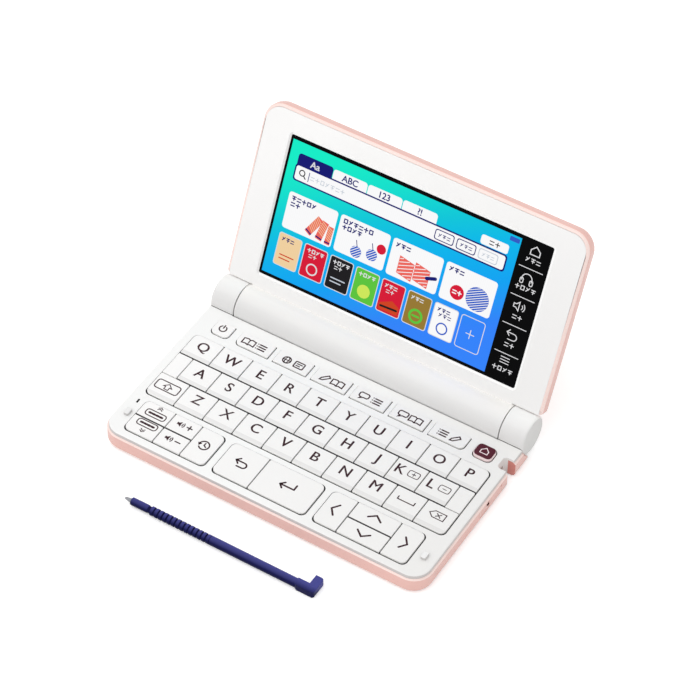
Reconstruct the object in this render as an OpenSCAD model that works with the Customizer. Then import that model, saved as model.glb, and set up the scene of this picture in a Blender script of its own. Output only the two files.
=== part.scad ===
// Pocket electronic dictionary with a hinged screen lid, a full keyboard and a stylus.
// Millimetres. X runs to the right, Y to the rear and Z up. The origin is on the table
// plane under the middle of the case. The lid is drawn open, as it stands in use.

/* [Case] */
// Width of the case and of the lid
body_w = 148; // [147:0.5:152]
// Depth of the case from its front to the back of the hinge barrel
body_d = 95.2; // [95.2:0.2:97]
// Height of the keyboard deck above the table
deck_z = 9.5; // [9.5:0.1:10.5]
// Height of the feet
foot_h = 0.5; // [0.4:0.1:0.8]
// Corner radius of the case and of the lid, seen from above
corner_r = 8.4; // [7:0.2:10]
// Width of the coloured rim around the lid's frame
rim_w = 1.4; // [1:0.1:1.6]
// Width of the coloured rim around the deck
deck_rim = 0.75; // [0.75:0.05:1.4]

/* [Hinge and lid] */
// Radius of the hinge barrel
barrel_r = 8.3; // [8.2:0.1:8.5]
// Length of the lid's own barrel, between the two fixed knuckles
barrel_len = 123.8; // [122:0.2:124.4]
// Length of the lid from the hinge axis to its free edge
lid_len = 87.3; // [87:0.1:88]
// Thickness of the lid from its frame to its back
lid_t = 6.4; // [5.4:0.1:6.5]
// Slope of the open lid above the table, in degrees
lid_lean = 65.9; // [50:0.1:90]

/* [Screen] */
// Width of the glass
glass_w = 119.4; // [110:0.1:121]
// Height of the glass
glass_h = 62.1; // [58:0.1:64]
// Distance from the hinge axis to the lower edge of the glass
glass_s = 14.8; // [13:0.1:16]

/* [Keyboard] */
// Distance from one letter key to the next
key_pitch = 13.8; // [13.4:0.1:13.8]
// Distance from one row of letter keys to the next
row_pitch = 12.5; // [12:0.1:12.5]
// Height of the key tops above the deck
key_rise = 0.6; // [0.4:0.1:0.8]
// Travel of a key
key_travel = 0.8; // [0.5:0.1:0.8]
// Gap between neighbouring keys
key_gap = 0.5; // [0.3:0.05:0.5]

/* [Stylus] */
// Radius of the stylus
stylus_r = 1.9; // [1.6:0.1:1.9]
// Length of the stylus from its tip to its hook
stylus_len = 87.4; // [80:0.2:88]

/* [Hidden] */
$fn = 48;
eps = 0.01;

half_w = body_w / 2;
front_y = -body_d / 2;
axis_y = body_d / 2 - barrel_r;
axis_z = deck_z + 0.5;
case_top = deck_z - 1.2;
deck_half = half_w - deck_rim;
deck_front = front_y + deck_rim;
deck_r = corner_r - deck_rim;
web_z = deck_z - 1.8;
wall_t = 1.8;
floor_z = foot_h + 1.4;
foot_seat = 0.4;
case_rear = axis_y - 4.3;
recess_r = barrel_r + 0.35;

// The keyboard, set out from the rear line of the letter block
block_y = 14.4;
block_half = 5 * key_pitch;
key_z = deck_z + key_rise;
head_z = web_z + 0.6 + key_travel + 0.1;
lip_top = web_z - 0.05;
key_bottom = web_z - 0.55;
key_r = 2.3;
slope_drop = 0.32;
slope_run = 1.9;
row0_front = block_y + 3.7;
row0_rear = block_y + 11.2;
pad_rear = block_y - 40.4;
pad_split = block_y - 49.1;
pad_front = block_y - 57.8;

// Levels of the parts under the keys
board_top = 5.6;
board_t = 1.2;
sheet_t = 0.3;
dome_h = 0.35;

// The store for the stylus runs under the rear row of keys
silo_y = block_y + 7;
silo_z = foot_h + 2.6;
silo_r = stylus_r + 0.1;
notch_x = 69;
notch_w = 6.3;
hook_room = 5.2;
silo_end = notch_x + 4 - stylus_len - 1.6;

// The lid, in a frame that lies on it: Y from the hinge axis to the free edge, Z out of the screen
face_d = -1.2;
frame_t = 1.6;
back_d = face_d - lid_t;
frame_half = half_w - 1.7;
frame_end = lid_len - rim_w;
lid_start = barrel_r + 0.3;
glass_left = -glass_w / 2;
cell_r = 7.1;
cell_len = 50.5;
cell_bore = 7.45;
cell_room = 52.6;
pin_r = 2.5;
cover_half = 54;
cover_mid = -125.9;
cover_span = 40;
cover_pull = -80.9;

// The stylus lies in front of the case, along X
pen_y = front_y - 19.5;
pen_tip_x = -48.1;
pen_end_x = pen_tip_x + stylus_len;

PINK = [0.90, 0.68, 0.64];
WHITE = [0.95, 0.95, 0.94];
KEYWHITE = [0.97, 0.97, 0.97];
MAROON = [0.33, 0.14, 0.18];
NAVY = [0.17, 0.17, 0.45];

// Where a key stands: its name, left, right, front and rear edges, and the radii of its
// front left, front right, rear right and rear left corners
function row_keys(names, row, left) = [
    for (i = [0:len(names) - 1])
        let (first = i == 0, last = i == len(names) - 1)
        let (top = row == 0 ? key_r : 0.3, low = row == 2 ? key_r : 0.3)
        [
            str("key_", names[i]),
            left + i * key_pitch, left + (i + 1) * key_pitch,
            block_y - (row + 1) * row_pitch, block_y - row * row_pitch,
            [first ? low : 0.3, last ? low : 0.3, last ? top : 0.3, first ? top : 0.3]
        ]
];

LETTER_KEYS = concat(
    row_keys(["q", "w", "e", "r", "t", "y", "u", "i", "o", "p"], 0, -block_half),
    row_keys(["a", "s", "d", "f", "g", "h", "j", "k", "l"], 1, -block_half + key_pitch / 2),
    row_keys(["shift", "z", "x", "c", "v", "b", "n", "m", "space", "delete"], 2, -block_half)
);

FULL = [key_r, key_r, key_r, key_r];
SQUARE = [0.3, 0.3, 0.3, 0.3];

PAD_KEYS = [
    ["key_scroll_up", -65.4, -51.5, pad_split, pad_rear, [0.3, 0.3, 0.3, key_r]],
    ["key_scroll_down", -65.4, -51.5, pad_front, pad_split, [key_r, 0.3, 0.3, 0.3]],
    ["key_volume_up", -51.5, -38.8, pad_split, pad_rear, SQUARE],
    ["key_volume_down", -51.5, -38.8, pad_front, pad_split, SQUARE],
    ["key_history", -38.8, -27.6, pad_front, pad_rear, [0.3, key_r, key_r, 0.3]],
    ["key_back", -24.2, -7.3, pad_front, pad_rear, [key_r, 0.3, 0.3, key_r]],
    ["key_enter", -7.3, 18.6, pad_front, pad_rear, [0.3, key_r, key_r, 0.3]],
    ["key_arrow_left", 21.9, 33.1, pad_front, pad_rear, [key_r, 0.3, 0.3, key_r]],
    ["key_arrow_up", 33.1, 52.7, pad_split, pad_rear, SQUARE],
    ["key_arrow_down", 33.1, 52.7, pad_front, pad_split, SQUARE],
    ["key_arrow_right", 52.7, 63.8, pad_front, pad_rear, [0.3, key_r, key_r, 0.3]]
];

// The rounded pockets that the three groups of the front row share
PADS = [[-65.4, -27.6], [-24.2, 18.6], [21.9, 63.8]];

POWER_KEY = ["key_power", -65.4, -56.8, row0_front, row0_rear, [key_r, key_r, 0.3, 0.3]];
HOME_KEY = ["key_home", 57.1, 65.9, row0_front - 0.2, row0_rear, FULL];

// The six keys of the rear row, each one for its own group of books
DICTIONARY_KEYS = [
    for (i = [0:5])
        let (left = -53.4 + 18.16 * i)
        ["dictionary_keys", left, left + 16.1, row0_front, row0_rear,
            [i == 0 ? key_r : 0.3, i == 5 ? key_r : 0.3, 0.3, 0.3]]
];

SINGLE_KEYS = concat([POWER_KEY, HOME_KEY], LETTER_KEYS, PAD_KEYS);
ALL_KEYS = concat(SINGLE_KEYS, DICTIONARY_KEYS);

// ---- Shapes that repeat ----

// A flat rectangle with a radius of its own at each corner: front left, front right,
// rear right, rear left
module rounded(x0, x1, y0, y1, r) {
    difference() {
        translate([x0, y0]) square([x1 - x0, y1 - y0]);
        for (c = [[x0, y0, 1, 1, r[0]], [x1, y0, -1, 1, r[1]], [x1, y1, -1, -1, r[2]],
                  [x0, y1, 1, -1, r[3]]])
            translate([c[0], c[1]]) scale_corner(c[2], c[3]) corner_waste(c[4]);
    }
}

// Turns a corner piece drawn for the front left into any other corner
module scale_corner(sx, sy) {
    mirror([sx < 0 ? 1 : 0, 0]) mirror([0, sy < 0 ? 1 : 0]) children();
}

// What a corner of radius r loses
module corner_waste(r) {
    difference() {
        translate([-eps, -eps]) square(r + eps);
        translate([r, r]) circle(r, $fn = 32);
    }
}

// A plate of the outline above between two heights
module slab(x0, x1, y0, y1, z0, z1, r) {
    translate([0, 0, z0]) linear_extrude(z1 - z0) rounded(x0, x1, y0, y1, r);
}

// A block between two corners
module block(low, high) {
    translate(low) cube(high - low);
}

// A cylinder along X between two places
module rod_x(x0, x1, y, z, r) {
    translate([x0, y, z]) rotate([0, 90, 0]) cylinder(h = x1 - x0, r = r);
}

// Puts what is drawn in the lid's own frame in its place, at the lid's slope
module on_lid() {
    translate([0, axis_y, axis_z]) rotate([lid_lean, 0, 0]) children();
}

// ---- Case ----

// The tray that closes the case from below, with the store for the stylus moulded in
module bottom_case() {
    color(PINK) difference() {
        union() {
            difference() {
                case_skin();
                case_hollow();
            }
            silo_block();
            screw_posts();
        }
        barrel_recess();
        rod_x(silo_end, half_w, silo_y, silo_z, silo_r);
        head_pocket();
        notch(foot_h - 1, deck_z);
        port_opening();
        screw_holes();
        speaker_slots();
        for (p = FOOT_PLACES) foot_pad(p, foot_h - 1, foot_h + foot_seat, 0.05);
    }
}

// The outside of the tray: a bevelled rim, upright walls and rounded lower edges
module case_skin() {
    hull() {
        for (s = [[0.7, case_top], [0, case_top - 0.7], [0, foot_h + 1.6], [0.4, foot_h + 0.6],
                  [1.5, foot_h]])
            translate([0, 0, s[1] - (s[1] == foot_h ? 0 : eps)])
                linear_extrude(eps)
                    rounded(-half_w + s[0], half_w - s[0], front_y + s[0], case_rear,
                        [corner_r - s[0], corner_r - s[0], 0.5, 0.5]);
    }
}

module case_hollow() {
    inner = half_w - wall_t;
    slab(-inner, inner, front_y + wall_t, case_rear - 3, floor_z, deck_z,
        [corner_r - wall_t, corner_r - wall_t, 0.5, 0.5]);
}

// The room that the hinge barrel turns in, and the seats of the two knuckles
module barrel_recess() {
    rod_x(-half_w - 1, half_w + 1, axis_y, axis_z, barrel_r + 0.15);
    rod_x(-barrel_len / 2 - 0.4, barrel_len / 2 + 0.4, axis_y, axis_z, recess_r);
}

// The block around the stylus store
module silo_block() {
    block([silo_end - 1, silo_y - 3, foot_h + 0.1], [half_w - 1, silo_y + 3, board_top]);
    block([notch_x - 1.2, silo_y - 4.4, floor_z - 0.5], [half_w - 1, silo_y + 4.4, case_top]);
}

// The square pocket that takes the head of the stylus
module head_pocket() {
    block([notch_x - hook_room, silo_y - 2.1, silo_z - 2.15], [half_w + 1, silo_y + 2.1, silo_z + 2.05]);
}

// The finger notch over the hook of the stylus
module notch(z0, z1) {
    y0 = silo_y - notch_w / 2;
    y1 = silo_y + notch_w / 2;
    slab(notch_x, half_w + 5, y0, y1, z0, z1, [1.6, 0.1, 0.1, 1.6]);
}

// The opening of the data port and the seat of its cover, in the right wall
module port_opening() {
    block([half_w - 3, -1.9, 3.6], [half_w + 1, 2.5, 6.4]);
    block([half_w - 0.9, -2.9, 3.0], [half_w + 1, 3.5, 7.0]);
    block([half_w - 1.4, 2.3, 4.2], [half_w + 1, 4.3, 5.8]);
    translate([half_w - 3, 13.6, 5.9]) rotate([0, 90, 0]) cylinder(h = 5, r = 0.5);
}

SCREW_PLACES = [[-70, -38.5], [70, -38.5], [-70, 12], [70, 9], [-25.9, -43], [20.25, -43], [-70, 27.5],
                [68, 28.8]];

module screw_posts() {
    for (p = SCREW_PLACES)
        translate([p[0], p[1], floor_z - eps]) cylinder(h = web_z - floor_z, r = 2.1);
}

module screw_holes() {
    for (p = SCREW_PLACES) {
        translate([p[0], p[1], foot_h - 1]) cylinder(h = 2, r = 1.7);
        translate([p[0], p[1], foot_h - 1]) cylinder(h = 12, r = 0.85);
    }
}

// The slots in front of the speaker, in the floor
module speaker_slots() {
    for (i = [0:4])
        block([-46, -28 + i * 2.4, foot_h - 1], [-34, -27 + i * 2.4, floor_z + 1]);
}

// The white deck with the pockets of the keys, the web that holds them and the knuckles
module top_deck() {
    color(WHITE) difference() {
        union() {
            slab(-deck_half, deck_half, deck_front, axis_y - barrel_r + 1, case_top, deck_z,
                [deck_r, deck_r, 0.5, 0.5]);
            slab(-half_w + wall_t + 0.1, half_w - wall_t - 0.1, front_y + wall_t + 0.1,
                axis_y - barrel_r, web_z, case_top + eps,
                [corner_r - wall_t, corner_r - wall_t, 0.5, 0.5]);
            for (side = [-1, 1]) knuckle(side);
        }
        rod_x(-barrel_len / 2 - 0.4, barrel_len / 2 + 0.4, axis_y, axis_z, recess_r);
        difference() {
            slab(-block_half - 0.2, block_half + 0.2, block_y - 3 * row_pitch - 0.2, block_y + 0.2,
                web_z + 0.6, deck_z + 1, FULL);
            fillers();
        }
        for (p = PADS)
            slab(p[0] - 0.2, p[1] + 0.2, pad_front - 0.2, pad_rear + 0.2, web_z + 0.6, deck_z + 1, FULL);
        for (k = concat([POWER_KEY, HOME_KEY], DICTIONARY_KEYS))
            slab(k[1] - 0.05, k[2] + 0.05, k[3] - 0.05, k[4] + 0.05, web_z + 0.6, deck_z + 1, k[5]);
        for (k = ALL_KEYS)
            block([k[1] + 1.2, k[3] + 1.2, web_z - 1], [k[2] - 1.2, k[4] - 1.2, web_z + 1]);
        notch(web_z - 1, deck_z + 1);
        silo_relief();
        microphone_slot();
    }
}

// The two blank panels at the ends of the middle row of letters
module fillers() {
    for (side = [-1, 1]) {
        a = side * (block_half - 0.2);
        b = side * (block_half - key_pitch / 2 + 0.2);
        slab(min(a, b), max(a, b), block_y - 2 * row_pitch + 0.2, block_y - row_pitch - 0.2,
            web_z, key_z, SQUARE);
    }
}

// A fixed knuckle of the hinge, with the bore that its pin is pressed into
module knuckle(side) {
    near = barrel_len / 2 + 0.4;
    far = half_w - 0.7;
    mirror([side < 0 ? 1 : 0, 0, 0]) difference() {
        union() {
            rod_x(near, far - 0.75, axis_y, axis_z, barrel_r);
            rod_x(far - 0.75 - eps, far, axis_y, axis_z, barrel_r - 0.7);
        }
        rod_x(near - 1, near + 6, axis_y, axis_z, pin_r + 0.02);
    }
}

// Room over the block of the stylus store, under the deck
module silo_relief() {
    block([notch_x - 1.3, silo_y - 4.5, web_z - 1], [half_w, silo_y + 4.5, case_top]);
}

// The sound slot of the microphone, left of the front row
module microphone_slot() {
    block([-68.8, block_y - 43.7, web_z - 1], [-68, block_y - 41.5, deck_z + 1]);
}

// ---- Keys ----

// A key: the head above the web, the waist in it, and the two lips that hold it down
module key(k, sloped) {
    g = key_gap / 2;
    x0 = k[1] + g;
    x1 = k[2] - g;
    y0 = k[3] + g;
    y1 = k[4] - g;
    difference() {
        union() {
            slab(x0, x1, y0, y1, head_z, key_z, k[5]);
            block([x0 + 1.2, y0 + 1.2, key_bottom], [x1 - 1.2, y1 - 1.2, head_z]);
            block([x0 + 2, y0 + 0.4, key_bottom], [x1 - 2, y1 - 0.4, lip_top]);
        }
        if (sloped) front_slope(x0, x1, y0);
    }
}

// The shallow slope along the front of a letter key
module front_slope(x0, x1, y0) {
    translate([x0 - 1, y0, key_z - slope_drop])
        rotate([atan(slope_drop / slope_run), 0, 0])
            translate([0, -1, 0])
                cube([x1 - x0 + 2, 3.1, 2]);
}

module letter_key(k) {
    touch_mark = k[0] == "key_f" || k[0] == "key_j";
    color(KEYWHITE) {
        key(k, true);
        if (touch_mark)
            block([(k[1] + k[2]) / 2 - 1.5, k[3] + 2.6, key_z - 0.1],
                [(k[1] + k[2]) / 2 + 1.5, k[3] + 3.1, key_z + 0.2]);
    }
}

module pad_key(k) {
    color(KEYWHITE) key(k, false);
}

module key_power() {
    color(KEYWHITE) key(POWER_KEY, false);
}

// The home key carries a dark raised plate
module key_home() {
    color(MAROON) {
        key(HOME_KEY, false);
        slab(HOME_KEY[1] + 0.5, HOME_KEY[2] - 0.7, HOME_KEY[3] + 1.1, HOME_KEY[4] - 0.4,
            key_z - 0.1, key_z + 0.3, [1.6, 1.6, 1.6, 1.6]);
    }
}

module dictionary_keys() {
    color(KEYWHITE) for (k = DICTIONARY_KEYS) key(k, false);
}

// ---- Under the keys ----

// The circuit board, with its parts soldered below, its port socket and its speaker
module main_board() {
    z0 = board_top - board_t;
    color("darkgreen") {
        difference() {
            block([-66, -43, z0], [66, silo_y - 3.2, board_top]);
            post_room();
        }
        block([-46, -28, floor_z + 0.2], [-34, -16, z0 + eps]);
        block([-12, -16, z0 - 1.3], [8, 4, z0 + eps]);
        block([22, -30, z0 - 1.1], [34, -18, z0 + eps]);
        difference() {
            block([65, -4, z0 - 1.2], [half_w - wall_t - 0.3, 4.6, z0 + 1]);
            block([67, -3, z0 - 0.7], [half_w, 3.6, z0 + 0.5]);
        }
    }
}

// The rubber sheet with one dome under each key
module dome_sheet() {
    color("gainsboro") {
        difference() {
            block([-66, -43, board_top], [66, row0_rear, board_top + sheet_t]);
            post_room();
        }
        for (k = ALL_KEYS)
            translate([(k[1] + k[2]) / 2, (k[3] + k[4]) / 2, board_top + sheet_t - eps])
                cylinder(h = dome_h + eps, r = 2, $fn = 24);
    }
}

// The cut-outs that let the screw posts through the board and the sheet
module post_room() {
    for (p = SCREW_PLACES)
        translate([p[0], p[1], floor_z]) cylinder(h = deck_z, r = 2.4);
}

module screws() {
    color("silver") for (p = SCREW_PLACES)
        translate([p[0], p[1], foot_h + 0.25]) screw();
}

// A small countersunk screw with a cross recess, point up
module screw() {
    difference() {
        union() {
            cylinder(h = 0.75, r = 1.6);
            cylinder(h = 6, r = 0.8);
        }
        for (a = [0, 90])
            rotate([0, 0, a]) translate([-0.9, -0.18, -1]) cube([1.8, 0.36, 1.5]);
    }
}

FOOT_PLACES = [[-58, -38], [58, -38]];

// A foot under the case, or its seat where it is drawn with a gap
module foot_pad(p, z0, z1, gap) {
    slab(p[0] - 5 - gap, p[0] + 5 + gap, p[1] - 2 - gap, p[1] + 2 + gap, z0, z1, [1.9, 1.9, 1.9, 1.9]);
}

// The two front feet, the rear feet under the knuckles, and the two small cushions that the
// closed lid rests on
module rubber_pads() {
    color("lightgrey") {
        for (p = FOOT_PLACES) foot_pad(p, 0, foot_h + foot_seat, 0);
        difference() {
            for (side = [-1, 1])
                slab(side * 67.5 - 3.5, side * 67.5 + 3.5, axis_y - 2.8, axis_y + 2.8, 0, 4, [1, 1, 1, 1]);
            rod_x(-half_w, half_w, axis_y, axis_z, barrel_r + eps);
        }
        for (side = [-1, 1])
            slab(side * 68.2 - 1.1, side * 68.2 + 1.1, block_y - 51.7, block_y - 48.2, deck_z, deck_z + 1.4,
                [0.6, 0.6, 0.6, 0.6]);
    }
}

// The small cover of the data port, hinged at its front edge
module usb_cover() {
    color(PINK) difference() {
        block([half_w - 0.8, -2.8, 3.1], [half_w - 0.05, 3.4, 6.9]);
        block([half_w - 1.4, 2.2, 4.2], [half_w + 1, 4.3, 5.8]);
    }
}

// ---- Lid ----

// The outline steps of the lid's back: inset and depth, from the frame to the back
LID_STEPS = [[1.55, face_d - 0.1], [0, face_d - 1.0], [0, back_d + 1.8], [0.25, back_d + 0.9],
             [0.9, back_d + 0.25], [1.8, back_d]];

// The coloured shell at the back of the lid
module lid_back_cover() {
    inner = frame_half + 0.05;
    color(PINK) on_lid() difference() {
        hull() {
            for (s = LID_STEPS)
                translate([0, 0, s[1] - (s[1] == back_d ? 0 : eps)])
                    linear_extrude(eps)
                        rounded(-half_w + s[0], half_w - s[0], lid_start + s[0] * 0.6, lid_len - s[0],
                            [1.5, 1.5, corner_r - s[0], corner_r - s[0]]);
        }
        slab(-inner, inner, 0, frame_end + 0.05, face_d - frame_t - 0.05, 1,
            [1.2, 1.2, corner_r - 1.7, corner_r - 1.7]);
        slab(-half_w + 2.6, half_w - 2.6, lid_start + 1.6, lid_len - 2.6, back_d + 1.2, 1,
            [0.5, 0.5, corner_r - 2.6, corner_r - 2.6]);
        block([-61, 0, back_d + 1.2], [61, lid_start + 3, 1]);
    }
}

// The white frame around the glass, in one piece with the hinge barrel that holds the cells
module lid_bezel() {
    color(WHITE) on_lid() difference() {
        union() {
            difference() {
                slab(-frame_half, frame_half, lid_start - 0.1, frame_end, face_d - frame_t, face_d,
                    [0.5, 0.5, corner_r - 1.7, corner_r - 1.7]);
                rod_x(-half_w, half_w, 0, 0, barrel_r + 0.25);
            }
            block([-60.8, 5, back_d + 1.4], [60.8, lid_start + 1.4, face_d]);
            rod_x(-barrel_len / 2, barrel_len / 2, 0, 0, barrel_r);
        }
        slab(glass_left - 0.05, glass_left + glass_w + 0.05, glass_s - 0.05, glass_s + glass_h + 0.05,
            face_d - 3, 1, [0.8, 0.8, 0.8, 0.8]);
        rod_x(-cell_room, cell_room, 0, 0, cell_bore);
        for (side = [-1, 1])
            mirror([side < 0 ? 1 : 0, 0, 0])
                rod_x(barrel_len / 2 - 5, barrel_len / 2 + 1, 0, 0, pin_r + 0.05);
        cover_cut(cover_half + 0.15, 0.15, 10);
    }
}

// The wedge of the barrel's wall that the battery cover fills, widened by a gap
module cover_cut(half, gap, reach) {
    rotate([cover_pull, 0, 0]) rotate([0, 90, 0])
        translate([0, 0, -half])
            linear_extrude(2 * half)
                cover_outline(gap, reach);
}

// The cover leaves along its own pull direction, so its two long edges are parallel to it
module cover_outline(gap, reach) {
    low = barrel_r * sin(cover_mid - cover_pull - cover_span);
    high = barrel_r * sin(cover_mid - cover_pull + cover_span);
    translate([-max(low, high) - gap, 0]) square([abs(high - low) + 2 * gap, reach]);
}

module battery_cover() {
    color(WHITE) on_lid() difference() {
        intersection() {
            rod_x(-cover_half, cover_half, 0, 0, barrel_r);
            cover_cut(cover_half, 0, 10);
        }
        rod_x(-half_w, half_w, 0, 0, cell_bore + 0.1);
        for (i = [0:4])
            translate([cover_half - 12 + i * 1.6, 0, 0]) rotate([0, 90, 0])
                difference() {
                    cylinder(h = 0.7, r = barrel_r + 1);
                    translate([0, 0, -1]) cylinder(h = 3, r = barrel_r - 0.25);
                }
    }
}

// Two cells in line in the barrel
module batteries() {
    color("dimgrey") on_lid() for (i = [0, 1])
        translate([-cell_len + i * cell_len, 0, 0]) rotate([0, 90, 0]) {
            cylinder(h = cell_len - 1.2, r = cell_r);
            cylinder(h = cell_len - 0.1, r = 2.7);
        }
}

// The contact plates at the two ends of the cells
module battery_contacts() {
    color("silver") on_lid() {
        rod_x(-cell_room, -cell_room + 0.4, 0, 0, 5);
        rod_x(-cell_room + 0.4 - eps, -cell_len - 0.05, 0, 0, 3);
        rod_x(cell_room - 0.4, cell_room, 0, 0, 5);
        rod_x(cell_len, cell_room - 0.4 + eps, 0, 0, 2);
    }
}

module touch_panel() {
    color([0.03, 0.03, 0.04]) on_lid()
        slab(glass_left, glass_left + glass_w, glass_s, glass_s + glass_h, face_d - frame_t, face_d - 0.2,
            [0.75, 0.75, 0.75, 0.75]);
}

// The display, its light guide and its metal frame as one block behind the glass
module lcd_module() {
    color("grey") on_lid()
        block([-62, glass_s - 1.6, back_d + 1.5], [62, glass_s + glass_h + 1.4, face_d - frame_t - 0.05]);
}

module hinge_pins() {
    near = barrel_len / 2 - 4.6;
    color("silver") for (side = [-1, 1])
        mirror([side < 0 ? 1 : 0, 0, 0]) rod_x(near, near + 10.4, axis_y, axis_z, pin_r);
}

// ---- Stylus ----

module pen_rod(x0, x1, r) {
    rod_x(x0, x1, pen_y, stylus_r, r);
}

// The grip rings: one every two millimetres
module grip_grooves() {
    for (i = [0:13])
        difference() {
            pen_rod(pen_tip_x + 12.6 + 2 * i, pen_tip_x + 13.3 + 2 * i, stylus_r + 1);
            pen_rod(pen_tip_x, pen_end_x, stylus_r - 0.3);
        }
}

// The body of the stylus, with its collar, its ringed grip and the hook at its end
module stylus_barrel() {
    color(NAVY) {
        difference() {
            union() {
                pen_rod(pen_tip_x + 3.1, pen_tip_x + 11, stylus_r - 0.25);
                pen_rod(pen_tip_x + 10.9, pen_tip_x + 12.2, stylus_r - 0.5);
                pen_rod(pen_tip_x + 12.1, pen_end_x - 1, stylus_r);
            }
            pen_rod(pen_tip_x, pen_tip_x + 7.2, 1.03);
            grip_grooves();
        }
        translate([0, pen_y, 0.15]) linear_extrude(2 * stylus_r - 0.3) hook_outline();
    }
}

// The outline of the head seen from above: the thick block and the hook behind it
module hook_outline() {
    difference() {
        union() {
            translate([pen_end_x - 8.8, -2.05]) square([8.8, 3.75]);
            translate([pen_end_x - 3.8, -2.05]) square([3.8, 8.35]);
        }
        translate([pen_end_x - 8.8, -2.05]) corner_waste(1.4);
        translate([pen_end_x, -2.05]) mirror([1, 0]) corner_waste(1);
        translate([pen_end_x, 6.3]) mirror([1, 0]) mirror([0, 1]) corner_waste(1.2);
    }
}

module stylus_tip() {
    color("darkgrey") {
        translate([pen_tip_x, pen_y, stylus_r]) rotate([0, 90, 0]) cylinder(h = 3.2, r1 = 0.5, r2 = 1);
        pen_rod(pen_tip_x + 3.2 - eps, pen_tip_x + 7, 1);
    }
}

bottom_case();
top_deck();
lid_back_cover();
lid_bezel();
touch_panel();
lcd_module();
battery_cover();
batteries();
battery_contacts();
main_board();
dome_sheet();
hinge_pins();
rubber_pads();
screws();
stylus_barrel();
stylus_tip();
usb_cover();
dictionary_keys();
key_power();
key_home();
for (k = LETTER_KEYS) letter_key(k);
for (k = PAD_KEYS) pad_key(k);
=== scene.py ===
"""A pocket electronic dictionary: pink shells, a white keyboard deck, a screen lid on a round
hinge barrel, and a stylus on the table in front. Sizes are in millimetres, in the frame of the
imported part, and are turned into metres where the points are placed."""

import math
from contextlib import contextmanager

import bmesh
import bpy
from mathutils import Matrix, Vector


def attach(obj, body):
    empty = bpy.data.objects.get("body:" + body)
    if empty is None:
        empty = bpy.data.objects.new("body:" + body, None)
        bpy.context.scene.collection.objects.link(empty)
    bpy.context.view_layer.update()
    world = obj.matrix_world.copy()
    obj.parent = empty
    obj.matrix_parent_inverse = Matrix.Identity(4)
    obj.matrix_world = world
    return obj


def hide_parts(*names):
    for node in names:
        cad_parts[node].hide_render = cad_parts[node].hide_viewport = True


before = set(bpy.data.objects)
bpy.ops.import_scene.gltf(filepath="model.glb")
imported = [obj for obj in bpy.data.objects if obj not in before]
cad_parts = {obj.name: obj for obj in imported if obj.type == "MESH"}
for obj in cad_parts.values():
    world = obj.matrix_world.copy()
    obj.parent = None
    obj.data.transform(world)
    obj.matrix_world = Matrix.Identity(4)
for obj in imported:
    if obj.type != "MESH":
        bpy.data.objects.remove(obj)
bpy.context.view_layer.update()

MM = 0.001

# ---- Sizes that the scene shares with the part ----

HALF_W = 74.0
FRONT_Y = -47.6
CORNER_R = 8.4
AXIS_Y = 39.3
AXIS_Z = 10.0
BARREL_R = 8.3
BARREL_HALF = 61.9
KNUCKLE_GAP = 0.4
KNUCKLE_W = 11.0
DECK_Z = 9.5
WEB_Z = 7.7
DECK_RIM = 0.75
RIM_TOP = 7.8

LID_LEAN = math.radians(65.9)
LID_COS = math.cos(LID_LEAN)
LID_SIN = math.sin(LID_LEAN)
LID_START = 8.6
LID_LEN = 87.3
FACE_D = -1.2
GLASS_D = -1.4
GLASS_HALF = 59.7
GLASS_LOW = 14.8
GLASS_TOP = 76.9

BLOCK_Y = 14.4
BLOCK_HALF = 69.0
KEY_PITCH = 13.8
ROW_PITCH = 12.5
KEY_Z = 10.1
HEAD_Z = 9.2
KEY_BOTTOM = 7.15
LIP_TOP = 7.65
KEY_GAP = 0.25
KEY_R = 2.3
SMALL_R = 0.3
KEY_SOFT = 0.22
WAIST = 1.2
SLOPE_DEPTH = 1.9
SLOPE_DROP = 0.2
SEAM_EXTRA = 0.14
DICTIONARY_W = 16.1
ROW0_FRONT = BLOCK_Y + 3.7
ROW0_REAR = BLOCK_Y + 11.2
PAD_REAR = BLOCK_Y - 40.4
PAD_SPLIT = BLOCK_Y - 49.1
PAD_FRONT = BLOCK_Y - 57.8

PEN_Y = -67.1
PEN_R = 1.9
PEN_TIP_X = -48.1
PEN_END_X = 39.3

INK_T = 0.02
LETTER_WEIGHT = 0.019


# ---- Materials ----

def colour(r, g, b):
    """A picture colour, 0 to 255, as the linear colour that the shader takes."""
    def linear(c):
        c /= 255
        return c / 12.92 if c <= 0.04045 else ((c + 0.055) / 1.055) ** 2.4
    return (linear(r), linear(g), linear(b), 1.0)


def scaled(shade, share):
    """A colour made darker or paler."""
    return tuple(min(1.0, c * share) for c in shade[:3]) + (1.0,)


def feed(tree, node, inputs):
    """Gives each of these inputs a value, the output of another node or a list of such outputs."""
    for label, given in inputs.items():
        for source in given if isinstance(given, list) else [given]:
            if isinstance(source, bpy.types.NodeSocket):
                tree.links.new(source, node.inputs[label])
            else:
                node.inputs[label].default_value = source


def add_node(tree, kind, inputs, **settings):
    node = tree.nodes.new(kind)
    for label, value in settings.items():
        setattr(node, label, value)
    feed(tree, node, inputs)
    return node


def material(name):
    """A new material, its tree and the coordinates of its object."""
    made = bpy.data.materials.new(name)
    made.use_nodes = True
    tree = made.node_tree
    return made, tree, tree.nodes.new("ShaderNodeTexCoord").outputs["Object"]


def surface(tree, inputs):
    feed(tree, tree.nodes["Principled BSDF"], inputs)


def noise(tree, coords, scale, detail=2.0, rough=0.5):
    inputs = {"Vector": coords, "Scale": scale, "Detail": detail, "Roughness": rough}
    return add_node(tree, "ShaderNodeTexNoise", inputs).outputs["Fac"]


def ranged(tree, value, low, high, old_low=0.3, old_high=0.7):
    inputs = {"Value": value, "From Min": old_low, "From Max": old_high, "To Min": low, "To Max": high}
    return add_node(tree, "ShaderNodeMapRange", inputs).outputs["Result"]


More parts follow.
